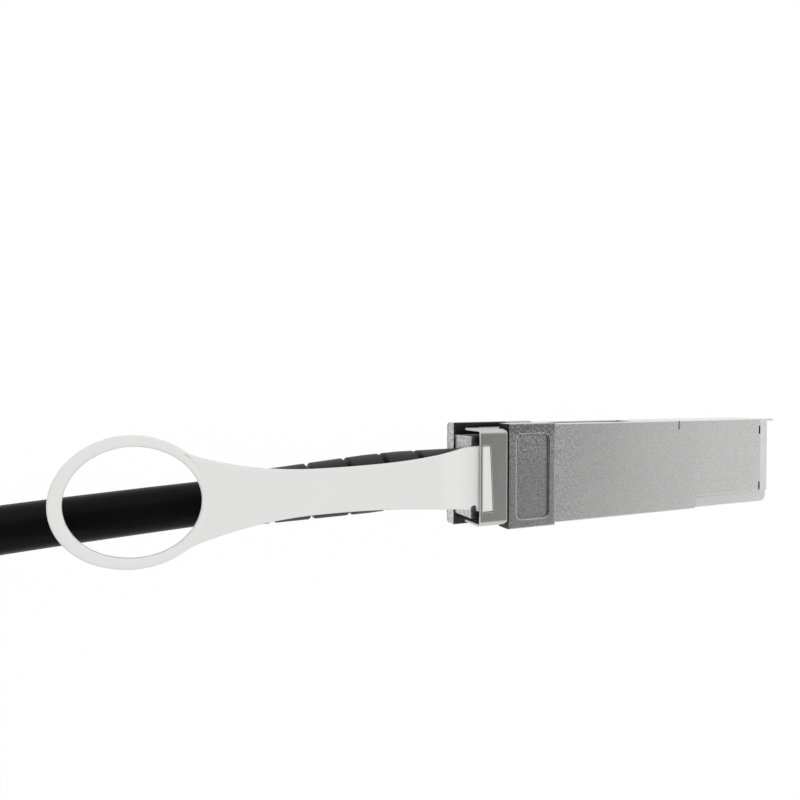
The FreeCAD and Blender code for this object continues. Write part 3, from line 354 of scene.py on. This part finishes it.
looks = {
    "casting": castingLook(),
    "bracket_steel": bracketLook(),
    "screw_steel": metalLook("screwSteel", (0.30, 0.29, 0.28), 0.35),
    "tab_plastic": plasticLook("tabPlastic", (0.78, 0.78, 0.775), 0.45, spread=0.02, strength=0.12),
    "spring_steel": metalLook("springSteel", (0.52, 0.51, 0.49), 0.22),
    "card_laminate": cardLook(),
    "contact_gold": metalLook("contactGold", (0.90, 0.60, 0.22), 0.22),
    "chip_plastic": plasticLook("chipPlastic", (0.012, 0.012, 0.013), 0.5),
    "capacitor_body": plasticLook("capacitorBody", (0.30, 0.20, 0.12), 0.45),
    "braid": braidLook(),
    "crimp_metal": metalLook("crimpMetal", (0.50, 0.46, 0.40), 0.32),
    "pair_jacket": plasticLook("pairJacket", (0.05, 0.12, 0.32), 0.35),
    "mould_plastic": plasticLook("mouldPlastic", (0.20, 0.20, 0.19), 0.5),
    "boot_plastic": plasticLook("bootPlastic", (0.0155, 0.0155, 0.016), 0.5, grain=1900.0, depth=0.00004, spread=0.12,
                                Specular_IOR_Level=0.25),
    "cable_jacket": jacketLook(),
    "tie_fabric": fabricLook(),
}
print("materials made:", len(looks))


def dressNodes():
    for entry in frame["record"]["subparts"]:
        mesh = nodes[entry["node"]].data
        mesh.materials.clear()
        mesh.materials.append(looks[entry["material_slot"]])


dressNodes()


# ---- meshes -------------------------------------------------------------

# Quads between neighbours of a grid of points. A wrapped direction joins its last line to its first.
def gridQuads(rows, columns, wrapRows, wrapColumns):
    i, j = np.meshgrid(np.arange(rows - (not wrapRows)), np.arange(columns - (not wrapColumns)), indexing="ij")
    below, beside = (i + 1) % rows, (j + 1) % columns
    return np.stack([i * columns + j, i * columns + beside, below * columns + beside, below * columns + j],
                    axis=-1).reshape(-1, 4)


# One piece from closed surfaces. Each is a grid, rows by columns by 3, whose columns wrap round. Its ends are
# "round" where its rows wrap too, "flat" where its first and last row get a face each, and "folded" where only the
# first does, because the points of the last row meet in pairs and are merged. A surface whose faces look inwards, by
# the sum of each face's area towards the middle, is turned.
def makePiece(name, grids, slot, body, smooth=35.0):
    points, faces = [], []
    for grid, ends in grids:
        start = sum(len(p) for p in points)
        rows, columns = grid.shape[:2]
        flat = grid.reshape(-1, 3)
        quads = gridQuads(rows, columns, ends == "round", True)
        corners = flat[quads]
        across = np.cross(corners[:, 2] - corners[:, 0], corners[:, 3] - corners[:, 1])
        outwards = (across * (corners.mean(axis=1) - flat.mean(axis=0))).sum() > 0
        made = quads.tolist()
        if ends != "round":
            made.append(np.arange(columns)[::-1].tolist())
        if ends == "flat":
            made.append((np.arange(columns) + (rows - 1) * columns).tolist())
        faces += [[start + k for k in (face if outwards else face[::-1])] for face in made]
        points.append(flat)
    mesh = bpy.data.meshes.new(name)
    mesh.from_pydata(np.concatenate(points), [], faces)
    work = bmesh.new()
    work.from_mesh(mesh)
    bmesh.ops.remove_doubles(work, verts=work.verts, dist=1e-7)
    work.to_mesh(mesh)
    work.free()
    mesh.shade_smooth()
    mesh.set_sharp_from_angle(angle=math.radians(smooth))
    mesh.materials.append(looks[slot])
    piece = bpy.data.objects.new(name, mesh)
    bpy.context.scene.collection.objects.link(piece)
    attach(piece, body)
    return piece


# ---- cable --------------------------------------------------------------

cable = {
    "diameter": 0.0068,
    "nearRoute": [(-0.0240, 0.0, 0.0050), (-0.0380, -0.00085, 0.0050), (-0.0620, -0.00225, 0.0048),
                  (-0.0840, -0.00385, 0.0045), (-0.0970, -0.0053, 0.00425), (-0.1080, -0.0065, 0.0042)],
    "farRoute": [(-0.1080, -0.0913, 0.0110), (-0.0980, -0.0919, 0.0107), (-0.0885, -0.0933, 0.0089),
                 (-0.0770, -0.0950, 0.0059), (-0.0590, -0.09525, 0.0048), (-0.0350, -0.09385, 0.0050),
                 (-0.0190, -0.0930, 0.0050), (-0.0110, -0.0930, 0.0050)],
    "centre": (-0.1330, -0.0489),
    "inner": 0.0356, "outer": 0.0424, "low": 0.0042, "high": 0.0110,
    "turns": 3.5, "pointsPerTurn": 24,
    "exit": (-0.0528, -0.0017, 0.0049), "length": 1.09,
}


# 0 before the first travel, 1 after the second, and level at both: 3 s^2 - 2 s^3.
def ease(travel, start, end):
    s = np.clip((travel - start) / (end - start), 0.0, 1.0)
    return s * s * (3.0 - 2.0 * s)


# Coil: travel t in degrees from the top, anticlockwise. Radius goes outer, inner, outer and height goes from the
# lower layer to the upper one, each change spread over 40 degrees. The points stand out by 1 / cos(half a step).
def coilPoints():
    step = 360.0 / cable["pointsPerTurn"]
    travel = np.arange(step / 2, cable["turns"] * 360.0, step)
    gap = cable["outer"] - cable["inner"]
    radius = cable["outer"] - gap * (ease(travel, 320, 360) - ease(travel, 960, 1000))
    radius = radius / math.cos(math.radians(step / 2))
    height = cable["low"] + (cable["high"] - cable["low"]) * ease(travel, 640, 680)
    angle = np.radians(90.0 + travel)
    centreX, centreY = cable["centre"]
    return np.stack([centreX + radius * np.cos(angle), centreY + radius * np.sin(angle), height], axis=1)


def makeCable():
    route = np.concatenate([cable["nearRoute"], coilPoints(), cable["farRoute"]])
    data = bpy.data.curves.new("cable", "CURVE")
    data.dimensions = "3D"
    spline = data.splines.new("NURBS")
    spline.points.add(len(route) - 1)
    spline.points.foreach_set("co", np.column_stack([route, np.ones(len(route))]).ravel())
    spline.order_u = 3
    spline.use_endpoint_u = True
    spline.resolution_u = 8
    data.bevel_depth = cable["diameter"] / 2
    data.bevel_resolution = 7
    data.use_fill_caps = True
    data.materials.append(looks["cable_jacket"])
    piece = bpy.data.objects.new("cable", data)
    bpy.context.scene.collection.objects.link(piece)
    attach(piece, "root")
    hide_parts("cable_lead", "cable_coil", "far_cable_lead")
    return piece


# The points of the cable's own spline, read from a copy with no bevel.
def cableLine(piece):
    bare = bpy.data.objects.new("bare", piece.data.copy())
    bare.data.bevel_depth = 0.0
    mesh = bpy.data.meshes.new_from_object(bare)
    line = np.zeros(len(mesh.vertices) * 3)
    mesh.vertices.foreach_get("co", line)
    bpy.data.curves.remove(bare.data)
    bpy.data.meshes.remove(mesh)
    return line.reshape(-1, 3)


cablePiece = makeCable()
line = cableLine(cablePiece)
print("cable made:", round(float(np.linalg.norm(np.diff(line, axis=0), axis=1).sum()), 4), "m")


# ---- strain relief (sizes in millimetres, x along the plug) ---------------

boot = {
    "shoulder": -12.05, "end": -52.8, "radius": 4.9, "endRadius": 4.1, "taperStart": -30.0, "core": 3.75,
    "groovePlaces": (-20.8, -27.2, -33.6, -40.0, -46.4), "grooveHalf": 0.62, "jacket": 3.4,
    "neck": 3.0, "flange": 4.2, "flangeEnds": (-4.6, -3.4), "shield": 2.3, "jacketEnd": -14.0,
    "round": 0.35, "flatTop": 8.4, "flatEnd": -16.2, "slopeEnd": -22.4, "slopeTop": 10.2, "sides": 72,
    "sag": -0.14,
}


# Outer radius at stations x: a level and then tapering run, sunk to the core at each groove by an eased step, and
# rounded over at both ends by a quarter circle.
def bootRadius(x):
    taper = np.clip((boot["taperStart"] - x) / (boot["taperStart"] - boot["end"]), 0.0, 1.0)
    full = boot["radius"] + taper * (boot["endRadius"] - boot["radius"])
    away = np.abs(x[:, None] - np.array(boot["groovePlaces"])).min(axis=1) / boot["grooveHalf"]
    radius = boot["core"] + (full - boot["core"]) * ease(away, 0.12, 1.0)
    depth = np.clip(np.minimum(boot["shoulder"] - x, x - boot["end"]) / boot["round"], 0.0, 1.0)
    return radius - boot["round"] * (1.0 - np.sqrt(1.0 - (1.0 - depth) ** 2))


# Closed profile turned about the cable's own line: the outside from the cable's side to the housing, then the neck
# and flange, and back along the bore. Behind the housing it sags sideways a little and its sections stand square to
# the line: x is less by the line's slope times the distance from it. Points above the flat top are brought down to
# it.
def makeBoot(prefix):
    spread = np.linspace(-1.0, 1.0, 15)
    dense = (np.array(boot["groovePlaces"])[:, None] + spread * 1.15 * boot["grooveHalf"]).ravel()
    ends = np.array([0.0, 0.02, 0.06, 0.12, 0.2, 0.3, 0.4])
    x = np.unique(np.concatenate([dense, boot["end"] + ends, boot["shoulder"] - ends,
                                  np.linspace(boot["end"], boot["shoulder"], 60)]))
    near, far = boot["flangeEnds"]
    inside = [(boot["shoulder"], boot["neck"]), (near, boot["neck"]), (near, boot["flange"]), (far, boot["flange"]),
              (far, boot["shield"]), (boot["jacketEnd"], boot["shield"]), (boot["jacketEnd"], boot["jacket"]),
              (boot["end"], boot["jacket"])]
    profile = np.concatenate([np.stack([x, bootRadius(x)], axis=1), inside])
    station, radius = profile[:, 0], profile[:, 1]
    plugX, plugY = plugs[prefix]
    own = line[np.abs(line[:, 1] - plugY) < 0.004]
    own = own[np.argsort(own[:, 0])]
    own = np.concatenate([own[own[:, 0] < plugX - 0.020], [(plugX, plugY, 0.005)]])
    middleY = np.interp(station * mm + plugX, own[:, 0], own[:, 1])
    middleZ = np.interp(station * mm + plugX, own[:, 0], own[:, 2])
    slope = np.interp(station * mm + plugX, own[:, 0], np.gradient(own[:, 1], own[:, 0]))
    middleY = middleY + boot["sag"] * mm * ease(-station, 14.0, 26.0)
    angle = np.linspace(0.0, 2.0 * np.pi, boot["sides"], endpoint=False)
    y = middleY[:, None] + radius[:, None] * mm * np.cos(angle)
    z = middleZ[:, None] + radius[:, None] * mm * np.sin(angle)
    top = np.interp(station, [boot["slopeEnd"], boot["flatEnd"]], [boot["slopeTop"], boot["flatTop"]]) * mm
    z = np.minimum(z, np.maximum(top, middleZ + boot["neck"] * mm)[:, None])
    square = slope * ease(-station, 14.0, 26.0)
    x = station[:, None] * mm + plugX - square[:, None] * (y - middleY[:, None])
    grid = np.stack([x, y, z], axis=2)
    piece = makePiece(prefix + "strainReliefBoot", [(grid, "round")], "boot_plastic", "root")
    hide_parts(prefix + "strain_relief")
    return piece


# ---- pull tab (sizes in millimetres) -------------------------------------

tab = {
    "hook": -10.2, "frontRight": -8.8, "frontLeft": -8.2, "frontHalf": 5.775, "frontSide": -0.15,
    "hookRun": 1.35, "hookTop": 10.2, "tongueLow": 8.75, "tongueHigh": 9.65, "rampFront": -13.0, "rampRear": -19.0,
    "shoulderHalf": 5.45, "waist": -38.5, "waistHalf": 3.53, "neckEnd": -59.0, "neckEndHalf": 6.65, "power": 2.3,
    "joinStart": -52.0, "joinHalf": 6.95, "fillet": 2.5, "filletStart": -58.3,
    "joinRows": 30, "low": 10.2, "high": 11.2, "round": 0.16, "ringRound": 0.30,
    "ringCentre": -66.37, "ringLong": 10.52, "ringHalf": 9.29, "holeCentre": -66.2, "holeLong": 8.9, "holeHalf": 7.7,
    "notch": (-11.6, 5.55, 0.8), "cornerPoints": 5, "ringPoints": 144, "sway": (-0.22, -0.25), "ringSway": -0.09,
}


# Rounded rectangles: corners at (+-(half width - r), +-(half height - r)), each a quarter circle of radius r, with
# more points along the two wide runs. Half widths and heights are arrays, one section each; returns across and up,
# sections by points.
def roundedSection(halfWidth, halfHeight, radius, perCorner, perRun=0):
    quarter = np.linspace(0.0, np.pi / 2, perCorner)
    along = np.linspace(1.0, -1.0, perRun + 2)[1:-1]
    stayX, stayZ = np.ones(perCorner), np.full(perRun, 1.0)
    signX = np.concatenate([stayX, along, -stayX, -stayX, -along, stayX])
    signZ = np.concatenate([stayX, stayZ, stayX, -stayX, -stayZ, -stayX])
    flat = np.zeros(perRun)
    outX = np.concatenate([np.cos(quarter), flat, np.cos(quarter + np.pi / 2), np.cos(quarter + np.pi), flat,
                           np.cos(quarter + 1.5 * np.pi)])
    outZ = np.concatenate([np.sin(quarter), flat + 1.0, np.sin(quarter + np.pi / 2), np.sin(quarter + np.pi),
                           flat - 1.0, np.sin(quarter + 1.5 * np.pi)])
    across = (halfWidth - radius)[:, None] * signX + radius * outX
    up = (halfHeight - radius)[:, None] * signZ + radius * outZ
    return across, up


# Half width of the neck: it grows from the waist with the travelled share raised to a power.
def neckHalf(x):
    frontRun, rearRun = tab["rampFront"] - tab["waist"], tab["waist"] - tab["neckEnd"]
    toFront = np.clip((x - tab["waist"]) / frontRun, 0.0, 1.0) ** tab["power"]
    toRear = np.clip((tab["waist"] - x) / rearRun, 0.0, 1.05) ** tab["power"]
    half = (tab["waistHalf"] + (tab["shoulderHalf"] - tab["waistHalf"]) * toFront
            + (tab["neckEndHalf"] - tab["waistHalf"]) * toRear)
    front = tab["shoulderHalf"] + (tab["frontHalf"] - tab["shoulderHalf"]) * np.clip(
        (x - tab["rampFront"]) / (tab["hook"] - tab["rampFront"]), 0.0, 1.0)
    return np.where(x > tab["rampFront"], front, half)


# The strap's middle line bends sideways in two eased steps.
def neckSway(x):
    return tab["sway"][0] * ease(-x, 13.0, 27.0) + tab["sway"][1] * ease(-x, 25.0, 56.0)


# Front half of the ring's outline, or of an ellipse inside it, at a distance y from the middle.
def ringFront(y, inset):
    long, half = tab["ringLong"] - inset, tab["ringHalf"] - inset
    return tab["ringCentre"] + long * np.sqrt(np.clip(1.0 - (y / half) ** 2, 0.0, 1.0))


# Half width where the neck runs into the ring: a parabola takes the place of the fillet, up to a width that lies
# inside the ring.
def joinHalf(x):
    bent = neckHalf(x) + np.clip(tab["filletStart"] - x, 0.0, None) ** 2 / (2.0 * tab["fillet"])
    return np.minimum(bent, tab["joinHalf"])


# Strap: rounded rectangles along x, from the hook in the slot, under the bracket's bar, up the ramp and along the
# neck. Its front end slants. Its rear end follows the start of the ring's flat top, and then folds flat on the ring's
# middle line.
def strapGrid():
    hook, ramp = tab["hook"], (tab["rampFront"] + 0.5, tab["rampRear"] - 0.5)
    x = np.concatenate([[hook + tab["hookRun"], hook + 0.6, hook, hook - 0.04], np.arange(hook - 0.15, ramp[0], -0.1),
                        np.linspace(ramp[0], ramp[1], 28), np.linspace(ramp[1] - 0.5, tab["joinStart"], 60)])
    rise = ease(-x, -ramp[0], -ramp[1])
    low = tab["tongueLow"] + (tab["low"] - tab["tongueLow"]) * rise
    high = tab["tongueHigh"] + (tab["high"] - tab["tongueHigh"]) * rise
    high = np.where(x >= hook, tab["hookTop"], high)
    half = neckHalf(x)
    side = tab["frontSide"] * np.clip((x - tab["rampFront"]) / (hook - tab["rampFront"]), 0.0, 1.0)
    placeX, depth, cut = tab["notch"]
    into = np.sqrt(np.clip(cut ** 2 - (x - placeX) ** 2, 0.0, None))
    left = np.where(into > 0, np.minimum(half - side, depth - into), half - side)
    edge = np.linspace(tab["joinStart"], ringFront(tab["joinHalf"], tab["ringRound"]), tab["joinRows"] + 1)[1:]
    joined = np.append(joinHalf(edge), tab["joinHalf"])
    share = np.concatenate([np.zeros(len(x)), np.linspace(0.0, 1.0, tab["joinRows"] + 1)[1:], [1.0]])
    x = np.concatenate([x, edge, edge[-1:]])
    right, left = np.concatenate([half + side, joined]), np.concatenate([left, joined])
    low = np.concatenate([low, np.full(len(joined), tab["low"])])
    high = np.concatenate([high, np.full(len(joined), tab["high"])])
    across, up = roundedSection((right + left) / 2, (high - low) / 2, tab["round"], tab["cornerPoints"], 15)
    up[-1] = 0.0
    y = across + ((right - left) / 2)[:, None]
    z = up + ((high + low) / 2)[:, None]
    x = np.repeat(x[:, None], y.shape[1], axis=1)
    slant = (tab["frontLeft"] - tab["frontRight"]) / (2.0 * tab["frontHalf"])
    front = np.clip((x - hook) / tab["hookRun"], 0.0, 1.0)
    x = x + front * (tab["frontRight"] - hook - tab["hookRun"] + slant * (tab["frontHalf"] - y))
    x = x + share[:, None] * (ringFront(y / right[:, None] * tab["joinHalf"], tab["ringRound"])
                              - ringFront(tab["joinHalf"], tab["ringRound"]))
    x[-1] = ringFront(y[-1], (tab["ringLong"] - tab["holeLong"]) / 2)
    return np.stack([x, y + neckSway(x), z], axis=2)


# Ring: a rounded rectangle between the hole's ellipse and the outer one, at every angle.
def ringGrid():
    angle = np.linspace(0.0, 2.0 * np.pi, tab["ringPoints"], endpoint=False)
    outer = np.stack([tab["ringCentre"] + tab["ringLong"] * np.cos(angle), tab["ringHalf"] * np.sin(angle)], axis=1)
    inner = np.stack([tab["holeCentre"] + tab["holeLong"] * np.cos(angle), tab["holeHalf"] * np.sin(angle)], axis=1)
    wide = np.linalg.norm(outer - inner, axis=1)
    outward = (outer - inner) / wide[:, None]
    across, up = roundedSection(wide / 2, np.full(len(angle), (tab["high"] - tab["low"]) / 2), tab["ringRound"],
                                tab["cornerPoints"])
    flat = ((outer + inner) / 2)[:, None, :] + across[:, :, None] * outward[:, None, :]
    share = ease(flat[:, :, 0], -70.0, -57.0)
    flat[:, :, 1] += tab["ringSway"] + (neckSway(flat[:, :, 0]) - tab["ringSway"]) * share
    return np.concatenate([flat, (up + (tab["high"] + tab["low"]) / 2)[:, :, None]], axis=2)


def makeTab(prefix):
    shift = np.array([*plugs[prefix], 0.0])
    grids = [(strapGrid() * mm + shift, "folded"), (ringGrid() * mm + shift, "round")]
    piece = makePiece(prefix + "pullTabStrap", grids, "tab_plastic", latchBody[prefix])
    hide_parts(prefix + "pull_tab")
    return piece


# ---- return springs (sizes in millimetres) -------------------------------

spring = {"seat": -3.3, "lug": 3.0, "side": 7.15, "height": 5.0, "coil": 0.675, "wire": 0.125, "turns": 6,
          "closing": 0.44, "travel": 2.5, "steps": 240, "sides": 10}


# Round wire carried along a helix about x. Its advance mixes a level pitch with an eased one, so it closes towards
# both ends.
def makeSpring(prefix, name, side):
    t = np.linspace(0.0, 1.0, spring["steps"])
    angle = 2.0 * np.pi * spring["turns"] * t
    low, high = spring["seat"] + spring["wire"], spring["lug"] - spring["wire"]
    along = low + (high - low) * ((1.0 - spring["closing"]) * t + spring["closing"] * ease(t, 0.0, 1.0))
    outward = np.stack([np.zeros_like(t), np.cos(angle), np.sin(angle)], axis=1)
    centre = np.array([0.0, side * spring["side"], spring["height"]]) + spring["coil"] * outward
    centre[:, 0] += along
    heading = np.gradient(centre, axis=0)
    heading /= np.linalg.norm(heading, axis=1)[:, None]
    other = np.cross(heading, outward)
    turn = np.linspace(0.0, 2.0 * np.pi, spring["sides"], endpoint=False)
    ring = outward[:, None, :] * np.cos(turn)[:, None] + other[:, None, :] * np.sin(turn)[:, None]
    grid = (centre[:, None, :] + spring["wire"] * ring) * mm + np.array([*plugs[prefix], 0.0])
    piece = makePiece(prefix + name, [(grid, "flat")], "spring_steel", "root")
    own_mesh(piece)
    return piece


# ---- coil tie (sizes in millimetres) -------------------------------------

tie = {"inner": 35.6, "outer": 42.4, "low": 4.2, "high": 11.0, "cable": 3.4, "wide": 11.6, "thick": 0.7, "lift": 0.05,
       "round": 0.3, "perArc": 14, "perRun": 10}


# A rounded strip carried round the bundle: four runs and four quarter circles in the plane of radius and height,
# swept sideways along the coil's own circle.
def makeTie():
    level = tie["cable"] + tie["lift"] + tie["thick"] / 2
    quarter = np.linspace(0.0, np.pi / 2, tie["perArc"])
    corners = ((tie["outer"], tie["high"]), (tie["inner"], tie["high"]), (tie["inner"], tie["low"]),
               (tie["outer"], tie["low"]))
    path, outward = [], []
    for k, (cornerR, cornerZ) in enumerate(corners):
        way = np.stack([np.cos(quarter + k * np.pi / 2), np.sin(quarter + k * np.pi / 2)], axis=1)
        path.append(np.array([cornerR, cornerZ]) + level * way)
        outward.append(way)
        following = np.array(corners[(k + 1) % 4]) + level * way[-1]
        share = np.linspace(0.0, 1.0, tie["perRun"] + 2)[1:-1, None]
        path.append(path[-1][-1] + share * (following - path[-1][-1]))
        outward.append(np.repeat(way[-1:], tie["perRun"], axis=0))
    path, outward = np.concatenate(path), np.concatenate(outward)
    ones = np.ones(len(path))
    across, up = roundedSection(ones * tie["wide"] / 2, ones * tie["thick"] / 2, tie["round"], 4)
    radius = path[:, 0:1] + up * outward[:, 0:1]
    z = path[:, 1:2] + up * outward[:, 1:2]
    middle = (tie["inner"] + tie["outer"]) / 2
    angle = np.pi + across / middle
    centreX, centreY = cable["centre"]
    grid = np.stack([centreX + radius * mm * np.cos(angle), centreY + radius * mm * np.sin(angle), z * mm], axis=2)
    piece = makePiece("tieStrap", [(grid, "round")], "tie_fabric", "root")
    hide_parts("coil_tie")
    return piece


onFarEnd = [makeTie()]
for prefix in plugs:
    made = [makeBoot(prefix), makeTab(prefix), makeSpring(prefix, "springRight", 1),
            makeSpring(prefix, "springLeft", -1)]
    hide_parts(prefix + "latch_spring_right")
    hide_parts(prefix + "latch_spring_left")
    if prefix:
        onFarEnd += made
print("plug pieces made")


# ---- floor, world and lamps ---------------------------------------------

studio = {
    "floorColour": (0.86, 0.86, 0.86), "floorLift": 0.99, "floorMirrored": 0.97, "floorLevel": -0.0001, "reach": 6.0,
    "worldLight": 0.90, "mirrorLight": 1.30,
    "sky": [(0.0, (0.84, 0.84, 0.84, 1.0)), (0.45, (0.88, 0.88, 0.88, 1.0)), (0.61, (1.0, 1.0, 1.0, 1.0)),
            (0.71, (0.38, 0.38, 0.38, 1.0)), (0.90, (0.09, 0.09, 0.09, 1.0))],
    "lamps": {
        "key": {"place": (0.56, -0.06, 0.24), "size": 0.30, "power": 0.42, "mirrored": False},
        "rim": {"place": (0.10, 0.60, 0.30), "size": 0.40, "power": 1.00, "mirrored": False},
        "overhead": {"place": (-0.15, -0.10, 0.75), "size": 0.60, "power": 2.7, "mirrored": False},
    },
}


# Floor: white to the camera and in mirrors, and a plain pale surface that keeps the shadow to all other light.
def makeFloor():
    corners = [(x * studio["reach"], y * studio["reach"], studio["floorLevel"])
               for x, y in ((-1, -1), (1, -1), (1, 1), (-1, 1))]
    mesh = bpy.data.meshes.new("floor")
    mesh.from_pydata(corners, [], [(0, 1, 2, 3)])
    look = Look("floor", Roughness=0.9)
    look.set("Base Color", look.mix(look.noise(40.0), scaled(studio["floorColour"], 0.99), studio["floorColour"]))
    seen = look.node("LightPath", out="Is Camera Ray")
    mirrored = look.node("LightPath", out="Is Glossy Ray") + look.node("LightPath", out="Is Transmission Ray")
    bright = look.node("Emission", values={"Color": look.mix(mirrored, grey(1.0), grey(studio["floorMirrored"])),
                                           "Strength": 1.0})
    share = ((seen + mirrored) * studio["floorLift"]).clip()
    mixed = look.node("MixShader", values={0: share, 1: Signal(look, look.shader.outputs[0]), 2: bright})
    look.feed(look.tree.nodes["Material Output"].inputs["Surface"], mixed)
    mesh.materials.append(look.material)
    floor = bpy.data.objects.new("floor", mesh)
    bpy.context.scene.collection.objects.link(floor)


# Paler towards the horizon than overhead: the brightness is a ramp of the direction's height.
def makeWorld():
    world = bpy.data.worlds.new("studio")
    bpy.context.scene.world = world
    look = Look("studio", world, "Background")
    mirrored = 0.0
    for ray in ("Is Camera Ray", "Is Glossy Ray", "Is Transmission Ray"):
        mirrored = look.node("LightPath", out=ray) + mirrored
    height = look.node("SeparateXYZ", values={0: look.node("TexCoord", out="Generated")}, out="Z")
    shade = look.node("ValToRGB", {"stops": studio["sky"]}, {0: height})
    look.set("Color", shade)
    look.set("Strength", studio["worldLight"] + (studio["mirrorLight"] - studio["worldLight"]) * mirrored.clip())


def makeLamps():
    aim = Vector((0.0, 0.0, 0.0))
    for name, entry in studio["lamps"].items():
        data = bpy.data.lights.new(name, "AREA")
        data.size, data.energy = entry["size"], entry["power"]
        lamp = bpy.data.objects.new(name, data)
        lamp.location = entry["place"]
        lamp.visible_glossy = entry["mirrored"]
        lamp.rotation_euler = (aim - Vector(entry["place"])).to_track_quat("-Z", "Y").to_euler()
        bpy.context.scene.collection.objects.link(lamp)


makeFloor()
makeWorld()
makeLamps()
print("studio made")

onFarEnd += [node for name, node in nodes.items() if name.startswith("far_") and not node.hide_render]
